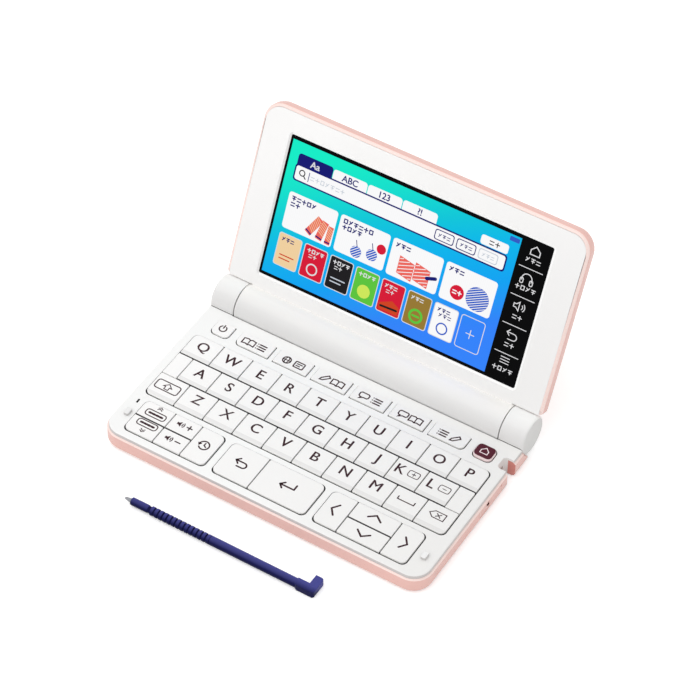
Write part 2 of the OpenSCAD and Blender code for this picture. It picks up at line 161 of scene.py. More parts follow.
def mixed(tree, value, first, second):
    inputs = {"Factor": value, "A": first, "B": second}
    return add_node(tree, "ShaderNodeMix", inputs, data_type="RGBA").outputs["Result"]


def along(tree, coords, per_mm, start):
    """A value that grows from 0 to 1 along a direction: its growth for each millimetre of x, y
    and z, and its value at the origin."""
    inputs = {0: coords, 1: tuple(grow / MM for grow in per_mm)}
    line = add_node(tree, "ShaderNodeVectorMath", inputs, operation="DOT_PRODUCT")
    return ranged(tree, line.outputs["Value"], 0.0, 1.0, -start, 1.0 - start)


def lid_run(x, s, start):
    """The same for the lid's own directions: its growth along x and towards the free edge."""
    return (x, s * LID_COS, s * LID_SIN), start - s * (LID_COS * AXIS_Y + LID_SIN * AXIS_Z)


def moulded(name, shade, rough, grain, depth, drift, coat=0.0, gloss=0.5, painted_light_to=None, run=None):
    """Moulded plastic: a fine eroded grain, with its pitch and depth in millimetres, and a slow
    drift of colour and gloss. With a second colour, its shade turns into that one along a run:
    a painted gradient of light and shade."""
    made, tree, coords = material(name)
    shade = colour(*shade)
    slow = ranged(tree, noise(tree, coords, 38.0, 3.0), 0, 1)
    tone = mixed(tree, slow, scaled(shade, 1 - drift), scaled(shade, 1 + drift * 0.6))
    if painted_light_to:
        tone = mixed(tree, along(tree, coords, *run), tone, colour(*painted_light_to))
    fine = noise(tree, coords, 1000.0 / grain, 2.0, 0.6)
    speck = noise(tree, coords, 1000.0 / (grain * 2.6), 1.0)
    bump = add_node(tree, "ShaderNodeBump", {"Strength": 0.35, "Distance": depth * MM, "Height": fine})
    surface(tree, {"Base Color": tone, "Roughness": ranged(tree, speck, rough - 0.05, rough + 0.06),
                   "Normal": bump.outputs["Normal"], "Coat Weight": coat, "Coat Roughness": 0.18,
                   "Specular IOR Level": gloss})
    return made


BACKGROUND = [(0.0, (14, 236, 198)), (0.16, (12, 222, 204)), (0.34, (4, 198, 216)), (0.5, (0, 182, 234)),
              (0.74, (8, 160, 242)), (0.95, (46, 132, 248)), (1.0, (50, 130, 250))]
PIXEL = 0.14


def background(tree, coords):
    """The display's own background, which runs from turquoise at the upper left to blue below."""
    run = along(tree, coords, *lid_run(0.0062, -0.0132, 1.19))
    ramp = add_node(tree, "ShaderNodeValToRGB", {"Fac": run})
    while len(ramp.color_ramp.elements) < len(BACKGROUND):
        ramp.color_ramp.elements.new(1.0)
    for element, (place, shade) in zip(ramp.color_ramp.elements, BACKGROUND):
        element.position = place
        element.color = colour(*shade)
    return ramp.outputs["Color"]


def pixels(tree, coords, shade):
    """One colour under a faint grid of pixels."""
    columns = add_node(tree, "ShaderNodeTexWave", {"Scale": 50.0 / PIXEL, "Distortion": 0.0, "Vector": coords})
    return mixed(tree, columns.outputs["Fac"], scaled(shade, 0.975), shade)


def lit(name, shade=None, power=1.0):
    """A patch of the display: it glows in one colour, or else in those of the background."""
    made, tree, coords = material(name)
    glow = pixels(tree, coords, colour(*shade)) if shade else background(tree, coords)
    film = mixed(tree, noise(tree, coords, 900.0), (0.002, 0.002, 0.003, 1), (0.004, 0.004, 0.005, 1))
    surface(tree, {"Emission Color": glow, "Emission Strength": power, "Base Color": film, "Roughness": 0.2,
                   "Specular IOR Level": 0.04})
    return made


def ringed_metal(name, shade, rough):
    """Turned or rolled metal, with fine scratches."""
    made, tree, coords = material(name)
    stretch = add_node(tree, "ShaderNodeMapping", {"Vector": coords, "Scale": (0.08, 1.0, 1.0)})
    lines = noise(tree, stretch.outputs["Vector"], 900.0, 3.0)
    surface(tree, {"Base Color": mixed(tree, lines, scaled(shade, 0.86), shade),
                   "Roughness": ranged(tree, lines, rough - 0.08, rough + 0.1), "Metallic": 1.0})
    return made


# The directions of the painted gradients of light and shade that some finishes below take.
DECK_SHADE_RUN = ((1 / 75, 0, 0), 10 / 75)
KEY_SHADE_RUN = ((1 / 125, 0, 0), 60 / 125)
BARREL_LIGHT_RUN = ((0, 0.2, 0), -0.2 * (AXIS_Y - 5.5))
PEN_LIGHT_RUN = ((0, 0.3, 0.27), 0.3 - 0.3 * PEN_Y - 0.27 * PEN_R)

# Each one: its shade, roughness, pitch and depth of the grain, and drift.
pink_plastic = moulded("pink_plastic", (239, 190, 180), 0.32, 0.22, 0.008, 0.02, coat=0.35)
# A pale pink for the bevels of the pink shells: a painted highlight.
pale_rim_highlight = moulded("pale_rim_highlight", (250, 225, 218), 0.3, 0.22, 0.008, 0.01, coat=0.35)
# A darker pink for the cut face at the back of the finger notch: painted shade.
shaded_pink_cut = moulded("shaded_pink_cut", (216, 138, 128), 0.4, 0.22, 0.008, 0.02)
port_shadow = moulded("port_shadow", (104, 62, 58), 0.6, 0.3, 0.02, 0.05)
# The deck's white turns darker towards the right: painted shade.
white_plastic = moulded("white_plastic", (246, 246, 245), 0.42, 0.24, 0.01, 0.012,
                        painted_light_to=(235, 234, 232), run=DECK_SHADE_RUN)
# The lid frame's white turns darker towards the right and towards the hinge: painted shade.
frame_plastic = moulded("frame_plastic", (252, 251, 250), 0.42, 0.24, 0.01, 0.012,
                        painted_light_to=(242, 241, 240), run=lid_run(0.0053, -0.01, 1.1))
# The sloped band round the glass: whiter as a painted highlight, and grey on its left side as painted shade.
frame_band_highlight = moulded("frame_band_highlight", (254, 254, 253), 0.4, 0.24, 0.006, 0.005)
frame_band_painted_shade = moulded("frame_band_painted_shade", (230, 229, 228), 0.42, 0.24, 0.006, 0.01)
# The barrel and the knuckles turn lighter from their front towards the rear: painted light and shade.
barrel_plastic = moulded("barrel_plastic", (228, 227, 226), 0.4, 0.24, 0.016, 0.012,
                         painted_light_to=(248, 246, 242), run=BARREL_LIGHT_RUN)
knuckle_plastic = moulded("knuckle_plastic", (228, 227, 226), 0.4, 0.24, 0.016, 0.012,
                          painted_light_to=(244, 244, 242), run=BARREL_LIGHT_RUN)
# A darker grey for the flat outer ends of the knuckles: painted shade.
knuckle_end_shade = moulded("knuckle_end_shade", (221, 221, 219), 0.42, 0.24, 0.01, 0.012)
# A dark grey for the pockets, holes, recess and grooves of the deck: a dark mat below the keys, painted darker
# as shade.
gap_mat_and_shade = moulded("gap_mat_and_shade", (70, 68, 70), 0.7, 0.3, 0.02, 0.05)
# A grey for the lower side of the deck above the pink rim: painted shade in the seam.
seam_painted_shade = moulded("seam_painted_shade", (206, 201, 199), 0.5, 0.24, 0.01, 0.02)
# The keys' white turns darker towards the right: painted shade.
key_plastic = moulded("key_plastic", (248, 247, 246), 0.46, 0.2, 0.012, 0.01, painted_light_to=(237, 236, 234), run=KEY_SHADE_RUN)
# A darker white for the sloping fronts of keys: painted shade.
slope_painted_shade = moulded("slope_painted_shade", (234, 233, 232), 0.46, 0.2, 0.012, 0.01, painted_light_to=(226, 225, 223), run=KEY_SHADE_RUN)
# A dark grey for the front walls of keys with another key before them: painted shade in the seam.
wall_painted_shade = moulded("wall_painted_shade", (92, 90, 91), 0.7, 0.2, 0.012, 0.03, gloss=0.1)
home_plastic = moulded("home_plastic", (82, 22, 38), 0.4, 0.2, 0.008, 0.05, gloss=0.25)
home_side_plastic = moulded("home_side_plastic", (236, 214, 214), 0.4, 0.2, 0.008, 0.02)
legend_ink = moulded("legend_ink", (54, 20, 30), 0.5, 0.12, 0.004, 0.12, gloss=0.3)
pale_ink = moulded("pale_ink", (244, 226, 228), 0.5, 0.12, 0.004, 0.03)
cushion_rubber = moulded("cushion_rubber", (238, 238, 237), 0.5, 0.3, 0.02, 0.03)
# A grey for the sides of the cushions: painted shade.
cushion_painted_shade = moulded("cushion_painted_shade", (204, 202, 200), 0.5, 0.3, 0.02, 0.03)
foot_rubber = moulded("foot_rubber", (200, 200, 200), 0.75, 0.3, 0.03, 0.05)
# The stylus's navy turns lighter towards its upper side and darker below: painted highlight and shade.
navy_plastic = moulded("navy_plastic", (8, 9, 66), 0.34, 0.3, 0.006, 0.03, gloss=0.1,
                       painted_light_to=(70, 72, 142), run=PEN_LIGHT_RUN)
# A darker navy for the grooves between the grip's rings: painted shade.
groove_painted_shade = moulded("groove_painted_shade", (12, 14, 64), 0.4, 0.3, 0.006, 0.03, gloss=0.06)
tip_plastic = moulded("tip_plastic", (150, 152, 158), 0.35, 0.2, 0.01, 0.06)
black_glass = moulded("black_glass", (3, 3, 4), 0.22, 0.5, 0.001, 0.1, gloss=0.05)
cell_wrap = moulded("cell_wrap", (78, 80, 84), 0.35, 0.3, 0.004, 0.1, coat=0.3)
board_green = moulded("board_green", (34, 92, 52), 0.45, 0.6, 0.02, 0.15, coat=0.3)
dome_silicone = moulded("dome_silicone", (205, 206, 205), 0.55, 0.3, 0.02, 0.04)
frame_metal = ringed_metal("frame_metal", (0.55, 0.55, 0.56, 1), 0.35)
contact_metal = ringed_metal("contact_metal", (0.72, 0.71, 0.68, 1), 0.25)
steel = ringed_metal("steel", (0.6, 0.6, 0.62, 1), 0.3)

SCREEN = [lit("display_glow")] + [lit(name, shade, power) for name, shade, power in (
    ("screen_white", (253, 253, 254), 0.97), ("screen_navy", (16, 20, 112), 1.0),
    ("screen_grey", (196, 204, 214), 1.0), ("screen_coral", (236, 102, 92), 1.0),
    ("screen_blue", (48, 92, 196), 1.0), ("screen_red", (214, 22, 52), 1.0),
    ("screen_cream", (240, 208, 160), 1.0), ("screen_black", (26, 24, 26), 1.0),
    ("screen_green", (92, 196, 60), 1.0), ("screen_lime", (206, 232, 90), 1.0),
    ("screen_orange", (206, 66, 30), 1.0), ("screen_gold", (150, 120, 50), 1.0),
    ("strip_white", (238, 238, 240), 0.85))]
GLOW, WHITE, NAVY, GREY, CORAL, BLUE, RED, CREAM, BLACK, GREEN, LIME, ORANGE, GOLD, STRIP = range(len(SCREEN))


# ---- Shapes ----

def on_table(x, y, z):
    return Vector((x, y, z)) * MM


def on_lid(x, s, d):
    """A point of the lid's own frame: x along the hinge, s from its axis to the free edge, d out
    of the screen."""
    return Vector((x, AXIS_Y + s * LID_COS - d * LID_SIN, AXIS_Z + s * LID_SIN + d * LID_COS)) * MM


def arc(cx, cy, r, start, end, steps):
    """Points of an arc, with its angles in degrees."""
    turns = [math.radians(start + (end - start) * i / steps) for i in range(steps + 1)]
    return [(cx + r * math.cos(turn), cy + r * math.sin(turn)) for turn in turns]


def circle(cx, cy, r, steps):
    return arc(cx, cy, r, 0, 360, steps)[:-1]


def rounded(x0, x1, y0, y1, radii, steps=8):
    """A rectangle with a radius of its own at each corner: front left, front right, rear right,
    rear left."""
    a, b, c, d = [max(0.02, v) for v in radii]
    return (arc(x0 + a, y0 + a, a, 180, 270, steps) + arc(x1 - b, y0 + b, b, 270, 360, steps)
            + arc(x1 - c, y1 - c, c, 0, 90, steps) + arc(x0 + d, y1 - d, d, 90, 180, steps))


def outlines(x0, x1, y0, y1, radii, levels, steps=8):
    """A rounded rectangle at some levels, each one a growth to all sides and a height."""
    return [[(x, y, z) for x, y in rounded(x0 - out, x1 + out, y0 - out, y1 + out,
                                           [max(0.05, r + out) for r in radii], steps)]
            for out, z in levels]


def edge_levels(top, soft, steps):
    """The rounded upper edge of a plate, as levels for its outlines."""
    turns = [math.pi / 2 * i / steps for i in range(steps + 1)]
    return [(-soft * (1 - math.cos(turn)), top - soft * (1 - math.sin(turn))) for turn in turns]


def unit(x, y):
    size = math.hypot(x, y) or 1.0
    return x / size, y / size


def area(line):
    return sum(a[0] * b[1] - b[0] * a[1] for a, b in zip(line, line[1:] + line[:1])) / 2


def placed(name, data):
    """A new object in the scene's collection."""
    made = bpy.data.objects.new(name, data)
    bpy.context.scene.collection.objects.link(made)
    return made


def baked(made):
    """The mesh of an object with its modifiers."""
    bpy.context.view_layer.update()
    return bpy.data.meshes.new_from_object(made.evaluated_get(bpy.context.evaluated_depsgraph_get()))


@contextmanager
def edited(mesh):
    """Opens a mesh for changes, and writes them back."""
    work = bmesh.new()
    work.from_mesh(mesh)
    yield work
    work.to_mesh(mesh)
    work.free()


def letter_mesh(word, thick=0.0, weight=0.0):
    """A word in the built-in letters, on a baseline at zero."""
    curve = bpy.data.curves.new("letters", "FONT")
    curve.body = word
    curve.extrude = thick
    curve.bevel_depth = weight
    curve.bevel_resolution = 0
    holder = placed("letters", curve)
    mesh = baked(holder)
    bpy.data.objects.remove(holder)
    return mesh


capital = letter_mesh("H")
CAP_HEIGHT = max(v.co.y for v in capital.vertices)
bpy.data.meshes.remove(capital)


class Part:
    """Collects solids, in millimetres, for one finished piece."""

    def __init__(self, place=on_table):
        self.place = place
        self.points = []
        self.faces = []
        self.slots = []

    def add(self, points, faces, slot=0):
        start = len(self.points)
        self.points += [self.place(*p) for p in points]
        self.faces += [[start + i for i in face] for face in faces]
        self.slots += [slot] * len(faces)

    def take(self, mesh, place, slot=0):
        """Adds a mesh, with each of its points moved by a function, and deletes it."""
        self.add([place(v.co) for v in mesh.vertices], [list(p.vertices) for p in mesh.polygons], slot)
        bpy.data.meshes.remove(mesh)

    def loft(self, rings, slot=0, split=None, bands=None):
        """A closed skin over rings of equal length, counterclockwise seen from above, lowest
        first. The top face is split between two of its points where a crease runs. bands gives
        each band between two rings a finish of its own."""
        n = len(rings[0])
        points = [p for ring in rings for p in ring]
        faces = [[k * n + i, k * n + (i + 1) % n, (k + 1) * n + (i + 1) % n, (k + 1) * n + i]
                 for k in range(len(rings) - 1) for i in range(n)]
        faces.append(list(range(n))[::-1])
        top = [(len(rings) - 1) * n + i for i in range(n)]
        if split:
            a, b = split
            faces += [top[a:b + 1], top[b:] + top[:a + 1]]
        else:
            faces.append(top)
        self.add(points, faces, slot)
        if bands:
            ends = [bands[0]] + [bands[-1]] * (len(faces) - n * len(bands) - 1)
            self.slots[-len(faces):] = [band for band in bands for i in range(n)] + ends

    def prism(self, outline, z0, z1, slot=0):
        self.loft([[(x, y, z) for x, y in outline] for z in (z0, z1)], slot)

    def box(self, x0, x1, y0, y1, z0, z1, slot=0):
        self.prism([(x0, y0), (x1, y0), (x1, y1), (x0, y1)], z0, z1, slot)

    def stroke(self, path, width, z0, z1, slot=0, closed=False):
        """A flat line of even width along a path, with round ends."""
        half = width / 2
        n = len(path)
        left, right = [], []
        for i, (x, y) in enumerate(path):
            before = path[i - 1] if i or closed else None
            after = path[(i + 1) % n] if i < n - 1 or closed else None
            a = unit(x - before[0], y - before[1]) if before else None
            b = unit(after[0] - x, after[1] - y) if after else None
            a, b = a or b, b or a
            mx, my = unit(a[0] + b[0], a[1] + b[1])
            grow = half / max(0.35, mx * a[0] + my * a[1])
            left.append((x - my * grow, y + mx * grow))
            right.append((x + my * grow, y - mx * grow))
        if closed:
            if area(right) < area(left):
                left, right = right, left
            if area(path) < 0:
                left, right = left[::-1], right[::-1]
            self.ring(right, left, z0, z1, slot)
            return
        tail = math.degrees(math.atan2(path[1][1] - path[0][1], path[1][0] - path[0][0]))
        head = math.degrees(math.atan2(path[-1][1] - path[-2][1], path[-1][0] - path[-2][0]))
        outline = right + arc(*path[-1], half, head - 90, head + 90, 5)[1:-1]
        outline += left[::-1] + arc(*path[0], half, tail + 90, tail + 270, 5)[1:-1]
        self.prism(outline, z0, z1, slot)

    def ring(self, outer, inner, z0, z1, slot=0):
        """A flat frame between two outlines of equal length, both counterclockwise."""
        n = len(outer)
        points = [(x, y, z) for z in (z0, z1) for line in (outer, inner) for x, y in line]
        faces = []
        for i in range(n):
            j = (i + 1) % n
            faces += [[i, j, 2 * n + j, 2 * n + i], [n + j, n + i, 3 * n + i, 3 * n + j],
                      [2 * n + i, 2 * n + j, 3 * n + j, 3 * n + i], [j, i, n + i, n + j]]
        self.add(points, faces, slot)

    def turned(self, profile, start, axis_y, axis_z, steps=48, slot=0):
        """A body turned about a line along x: the profile holds distances along it and radii."""
        turns = [2 * math.pi * i / steps for i in range(steps)]
        self.loft([[(start + d, axis_y + r * math.cos(turn), axis_z + r * math.sin(turn)) for turn in turns]
                   for d, r in profile], slot)

    def text(self, word, cap_height, x, y, z, slot=0):
        """Letters with their middle at a point, as thin plates."""
        mesh = letter_mesh(word, INK_T, LETTER_WEIGHT)
        scale = cap_height / CAP_HEIGHT
        xs = [v.co.x for v in mesh.vertices]
        middle = (min(xs) + max(xs)) / 2
        self.take(mesh, lambda p: (x + (p.x - middle) * scale, y + (p.y - CAP_HEIGHT / 2) * scale, z + p.z),
                  slot)

    def mesh(self, name, materials):
        """One mesh of all solids, without doubled points and with its faces turned outwards."""
        mesh = bpy.data.meshes.new(name)
        mesh.from_pydata(self.points, [], self.faces)
        for made in materials:
            mesh.materials.append(made)
        mesh.polygons.foreach_set("material_index", self.slots)
        with edited(mesh) as work:
            bmesh.ops.remove_doubles(work, verts=work.verts, dist=0.0005 * MM)
            bmesh.ops.recalc_face_normals(work, faces=work.faces)
        return mesh

    def piece(self, name, body, materials, smooth=40.0, slot=None, replaced=()):
        """Makes the mesh object, lets it ride on its body and stand for its nodes."""
        return dressed(name, self.mesh(name, materials), body, smooth, replaced)


def dressed(name, mesh, body, smooth=40.0, replaced=(), bevel=0.0):
    """The finished object of a mesh: soft normals, rounding where its edges have a share of the
    bevel, its body and the nodes it hides."""
    mesh.shade_smooth()
    mesh.set_sharp_from_angle(angle=math.radians(smooth))
    with edited(mesh) as work:
        for edge in work.edges:
            if len({face.material_index for face in edge.link_faces}) > 1:
                edge.smooth = False
    made = placed(name, mesh)
    if bevel:
        soft = made.modifiers.new("soft_edges", "BEVEL")
        soft.limit_method = "WEIGHT"
        soft.width = bevel * MM
        soft.segments = 2
        soft.use_clamp_overlap = False
    made.modifiers.new("flat_faces", "WEIGHTED_NORMAL").keep_sharp = True
    final = baked(made)
    final.name = name
    made.modifiers.clear()
    made.data = final
    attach(made, body)
    if replaced:
        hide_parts(*replaced)
    return made


MERGE = 0.004
FLAT_ANGLE = math.radians(0.4)
EDGE_ANGLE = math.radians(28.0)


def softened(node, name, body, materials, width, choose=None, shape=None):
    """A copy of a solid of the frame with its sharp edges rounded, as moulding leaves them.
    choose gives the share of the width for the middle of an edge, in millimetres, and shape the
    drop of a point."""
    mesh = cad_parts[node].data.copy()
    mesh.materials.clear()
    for made in materials:
        mesh.materials.append(made)
    if "custom_normal" in mesh.attributes:
        mesh.attributes.remove(mesh.attributes["custom_normal"])
    with edited(mesh) as work:
        bmesh.ops.remove_doubles(work, verts=work.verts, dist=MERGE * MM)
        bmesh.ops.dissolve_limit(work, angle_limit=FLAT_ANGLE, verts=work.verts, edges=work.edges)
        bmesh.ops.recalc_face_normals(work, faces=work.faces)
        for vert in work.verts if shape else []:
            vert.co.z -= shape(vert.co / MM) * MM
        weight = work.edges.layers.float.new("bevel_weight_edge")
        for edge in work.edges:
            if len(edge.link_faces) == 2 and edge.calc_face_angle(0.0) > EDGE_ANGLE:
                middle = (edge.verts[0].co + edge.verts[1].co) / 2 / MM
                edge[weight] = choose(middle) if choose else 1.0
    return dressed(name, mesh, body, 38.0, (node,), width)


def paint(made, finish, choose):
    """Gives some faces another of the finishes of their object, by their middle and direction."""
    slot = made.data.materials.find(finish.name)
    for face in made.data.polygons:
        if choose(face.center / MM, face.normal):
            face.material_index = slot


# ---- Where the keys are: x0, x1, y0, y1 and the radii of the corners ----

def corners(*large):
    """Large radii at these corners, counted from 0 at the front left, and small ones elsewhere."""
    return [KEY_R if i in large else SMALL_R for i in range(4)]


PAD_KEYS = {
    "scroll_up": (-65.4, -51.5, PAD_SPLIT, PAD_REAR, corners(3)),
    "scroll_down": (-65.4, -51.5, PAD_FRONT, PAD_SPLIT, corners(0)),
    "volume_up": (-51.5, -38.8, PAD_SPLIT, PAD_REAR, corners()),
    "volume_down": (-51.5, -38.8, PAD_FRONT, PAD_SPLIT, corners()),
    "history": (-38.8, -27.6, PAD_FRONT, PAD_REAR, corners(1, 2)),
    "back": (-24.2, -7.3, PAD_FRONT, PAD_REAR, corners(0, 3)),
    "enter": (-7.3, 18.6, PAD_FRONT, PAD_REAR, corners(1, 2)),
    "arrow_left": (21.9, 33.1, PAD_FRONT, PAD_REAR, corners(0, 3)),
    "arrow_up": (33.1, 52.7, PAD_SPLIT, PAD_REAR, corners()),
    "arrow_down": (33.1, 52.7, PAD_FRONT, PAD_SPLIT, corners()),
    "arrow_right": (52.7, 63.8, PAD_FRONT, PAD_REAR, corners(1, 2)),
}
PAD_GROUPS = [(-65.4, -27.6), (-24.2, 18.6), (21.9, 63.8)]
POWER_KEY = (-65.4, -56.8, ROW0_FRONT, ROW0_REAR, corners(0, 1))
HOME_KEY = (57.1, 65.9, ROW0_FRONT - 0.2, ROW0_REAR, corners(0, 1, 2, 3))
DICTIONARY_LEFT = [-53.4 + 18.16 * i for i in range(6)]
DICTIONARY_KEYS = [(x, x + DICTIONARY_W, ROW0_FRONT, ROW0_REAR, corners({0: 0, 5: 1}.get(i)))
                   for i, x in enumerate(DICTIONARY_LEFT)]
# The keys of each row from the left, its indent, and the corners of the block at its two ends.
LETTER_ROWS = [("qwertyuiop", 0.0, (3, 2)), ("asdfghjkl", KEY_PITCH / 2, ()),
               (("shift", *"zxcvbnm", "space", "delete"), 0.0, (0, 1))]


def letter_keys():
    """The name and the place of each key of the letter block."""
    for row, (names, indent, ends) in enumerate(LETTER_ROWS):
        rear = BLOCK_Y - row * ROW_PITCH
        at_end = dict(zip((0, len(names) - 1), ends))
        for i, name in enumerate(names):
            left = indent - BLOCK_HALF + i * KEY_PITCH
            yield name, (left, left + KEY_PITCH, rear - ROW_PITCH, rear, corners(at_end.get(i)))


# ---- Shells ----

JOIN, CUT = "UNION", "DIFFERENCE"
DECK_SOFT = 0.65
WEB_INSET = 1.9
BARREL_ROOM = 0.35
PIN_BORE_R = 2.52
FRAME_INSET = 1.45
LID_ROOM = 0.25
CELL_BORE_R = 7.45
CELL_BORE_HALF = 52.6
DOOR_HALF = 54.15
DOOR_TURN = math.radians(-80.9)
DECK_FINISHES = [white_plastic, gap_mat_and_shade, knuckle_plastic, seam_painted_shade, knuckle_end_shade, key_plastic]
DECK, MAT_AND_SHADE, KNUCKLE, PAINTED_SEAM, PAINTED_END, KEY = range(len(DECK_FINISHES))
LID_FINISHES = [frame_plastic, barrel_plastic, frame_band_highlight, frame_band_painted_shade]
FRAME, BARREL, BAND_HIGHLIGHT, BAND_SHADE = range(len(LID_FINISHES))


def carved(start, steps, materials):
    """The mesh of a body after unions and cuts, each one a closed body."""
    made = placed("solid", start.mesh("solid", materials))
    tools = []
    for operation, part in steps:
        tools.append(placed("solid", part.mesh("solid", materials)))
        step = made.modifiers.new("step", "BOOLEAN")
        step.operation = operation
        step.object = tools[-1]
        step.solver = "EXACT"
    mesh = baked(made)
    for tool in [made] + tools:
        bpy.data.objects.remove(tool)
    with edited(mesh) as work:
        bmesh.ops.remove_doubles(work, verts=work.verts, dist=0.001 * MM)
        bmesh.ops.dissolve_degenerate(work, dist=0.001 * MM, edges=work.edges)
    return mesh


def pocket(part, x0, x1, y0, y1, radii, gap):
    """The room for a key or a group of keys: dark below, a dark mat painted darker as shade, with a softened
    white rim.
    """
    levels = [(0, WEB_Z + 0.6), (0, DECK_Z - 0.18), (0.054, DECK_Z - 0.054), (0.18, DECK_Z), (0.18, DECK_Z + 1)]
    part.loft(outlines(x0 - gap, x1 + gap, y0 - gap, y1 + gap, radii, levels), bands=[MAT_AND_SHADE, DECK, DECK, DECK])


def deck_rooms():
    """The pockets of all keys."""
    rooms = Part()
    for x0, x1 in PAD_GROUPS:
        pocket(rooms, x0, x1, PAD_FRONT, PAD_REAR, [KEY_R] * 4, 0.2)
    for k in [POWER_KEY, HOME_KEY] + DICTIONARY_KEYS:
        pocket(rooms, *k, 0.05)
    pocket(rooms, -BLOCK_HALF, BLOCK_HALF, BLOCK_Y - 3 * ROW_PITCH, BLOCK_Y, [KEY_R] * 4, 0.2)
    return rooms


def deck_holes():
    """The holes in the web that the waists of the keys pass through."""
    holes = Part()
    for k in [k for _, k in letter_keys()] + [*PAD_KEYS.values(), POWER_KEY, HOME_KEY] + DICTIONARY_KEYS:
        holes.box(k[0] + WAIST, k[1] - WAIST, k[2] + WAIST, k[3] - WAIST, WEB_Z - 1, WEB_Z + 1, MAT_AND_SHADE)
    return holes


def deck_knuckles():
    """The two fixed knuckles of the hinge with softened ends, and the bores for its pins."""
    ends, bores = Part(), Part()
    near = BARREL_HALF + KNUCKLE_GAP
    edge = [(0, -0.2), (0.06, -0.06), (0.2, 0), (KNUCKLE_W - 1.0, 0), (KNUCKLE_W - 0.55, -0.08),
            (KNUCKLE_W - 0.2, -0.32), (KNUCKLE_W - 0.04, -0.62), (KNUCKLE_W, -0.95)]
    for side in (-1, 1):
        profile = [(side * d, BARREL_R + drop) for d, drop in edge][::side]
        ends.turned(profile, side * near, AXIS_Y, AXIS_Z, 96, KNUCKLE)
        bores.turned([(side * d, PIN_BORE_R) for d in (-1, 6)][::side], side * near, AXIS_Y, AXIS_Z, 32)
    return ends, bores


def make_deck():
    half, front, r = HALF_W - DECK_RIM, FRONT_Y + DECK_RIM, CORNER_R - DECK_RIM
    rear = AXIS_Y - BARREL_R
    plate = Part()
    # The deck's lower side is painted grey: painted shade in the seam above the pink rim.
    plate.loft(outlines(-half, half, front, rear + 1, [r, r, 0.5, 0.5],
                        [(0, RIM_TOP)] + edge_levels(DECK_Z, DECK_SOFT, 5), 12),
               bands=[PAINTED_SEAM] * 3 + [DECK] * 3)
    web = Part()
    web.loft(outlines(WEB_INSET - HALF_W, HALF_W - WEB_INSET, FRONT_Y + WEB_INSET, rear,
                      [6.6, 6.6, 0.5, 0.5], [(0, WEB_Z), (0, 8.5)]))
    recess = Part()
    room = BARREL_HALF + KNUCKLE_GAP
    size = BARREL_R + BARREL_ROOM
    recess.turned([(0, size), (2 * room, size)], -room, AXIS_Y, AXIS_Z, 96, MAT_AND_SHADE)
    ends, bores = deck_knuckles()
    slot = Part()
    slot.box(-68.8, -68, BLOCK_Y - 43.7, BLOCK_Y - 41.5, WEB_Z - 1, DECK_Z + 1, MAT_AND_SHADE)
    levels = [(0, WEB_Z - 1), (0, DECK_Z - 0.3), (0.1, DECK_Z - 0.08), (0.3, DECK_Z), (0.3, DECK_Z + 1)]
    slot.loft(outlines(69, HALF_W + 5, BLOCK_Y + 3.85, BLOCK_Y + 10.15, [1.6, 0.1, 0.1, 1.6], levels))
    relief = Part()
    relief.box(67.7, HALF_W, BLOCK_Y + 2.5, BLOCK_Y + 11.5, WEB_Z - 1, 8.3)
    fillers, groove = Part(), Part()
    levels = [(0, WEB_Z + 0.3)] + edge_levels(KEY_Z, KEY_SOFT, 3)
    for side in (-1, 1):
        x0, x1 = sorted((side * (BLOCK_HALF - 0.2), side * (BLOCK_HALF - KEY_PITCH / 2 + 0.2)))
        fillers.loft(outlines(x0, x1, BLOCK_Y - 2 * ROW_PITCH + 0.2, BLOCK_Y - ROW_PITCH - 0.2, [SMALL_R] * 4,
                              levels), KEY)
        # At each knuckle, a narrow groove along the deck's rear edge, dark as painted shade.
        x0, x1 = sorted((side * (BARREL_HALF + 0.3), side * (HALF_W + 1)))
        groove.box(x0, x1, rear - 0.16, rear + 0.04, DECK_Z - 0.3, DECK_Z + 0.2, MAT_AND_SHADE)
    mesh = carved(plate, [(JOIN, web), (CUT, recess), (CUT, deck_rooms()), (CUT, deck_holes()), (CUT, slot),
                          (CUT, relief), (JOIN, ends), (CUT, bores), (JOIN, fillers), (CUT, groove)],
                  DECK_FINISHES)
    # The flat outer ends of the knuckles are painted darker: painted shade.
    for face in mesh.polygons:
        if abs(face.normal.x) > 0.95 and abs(face.center.x) > 73.2 * MM and face.center.y > 31.5 * MM:
            face.material_index = PAINTED_END
    dressed("keyboard_deck", mesh, "base", 30.0, ("top_deck",))


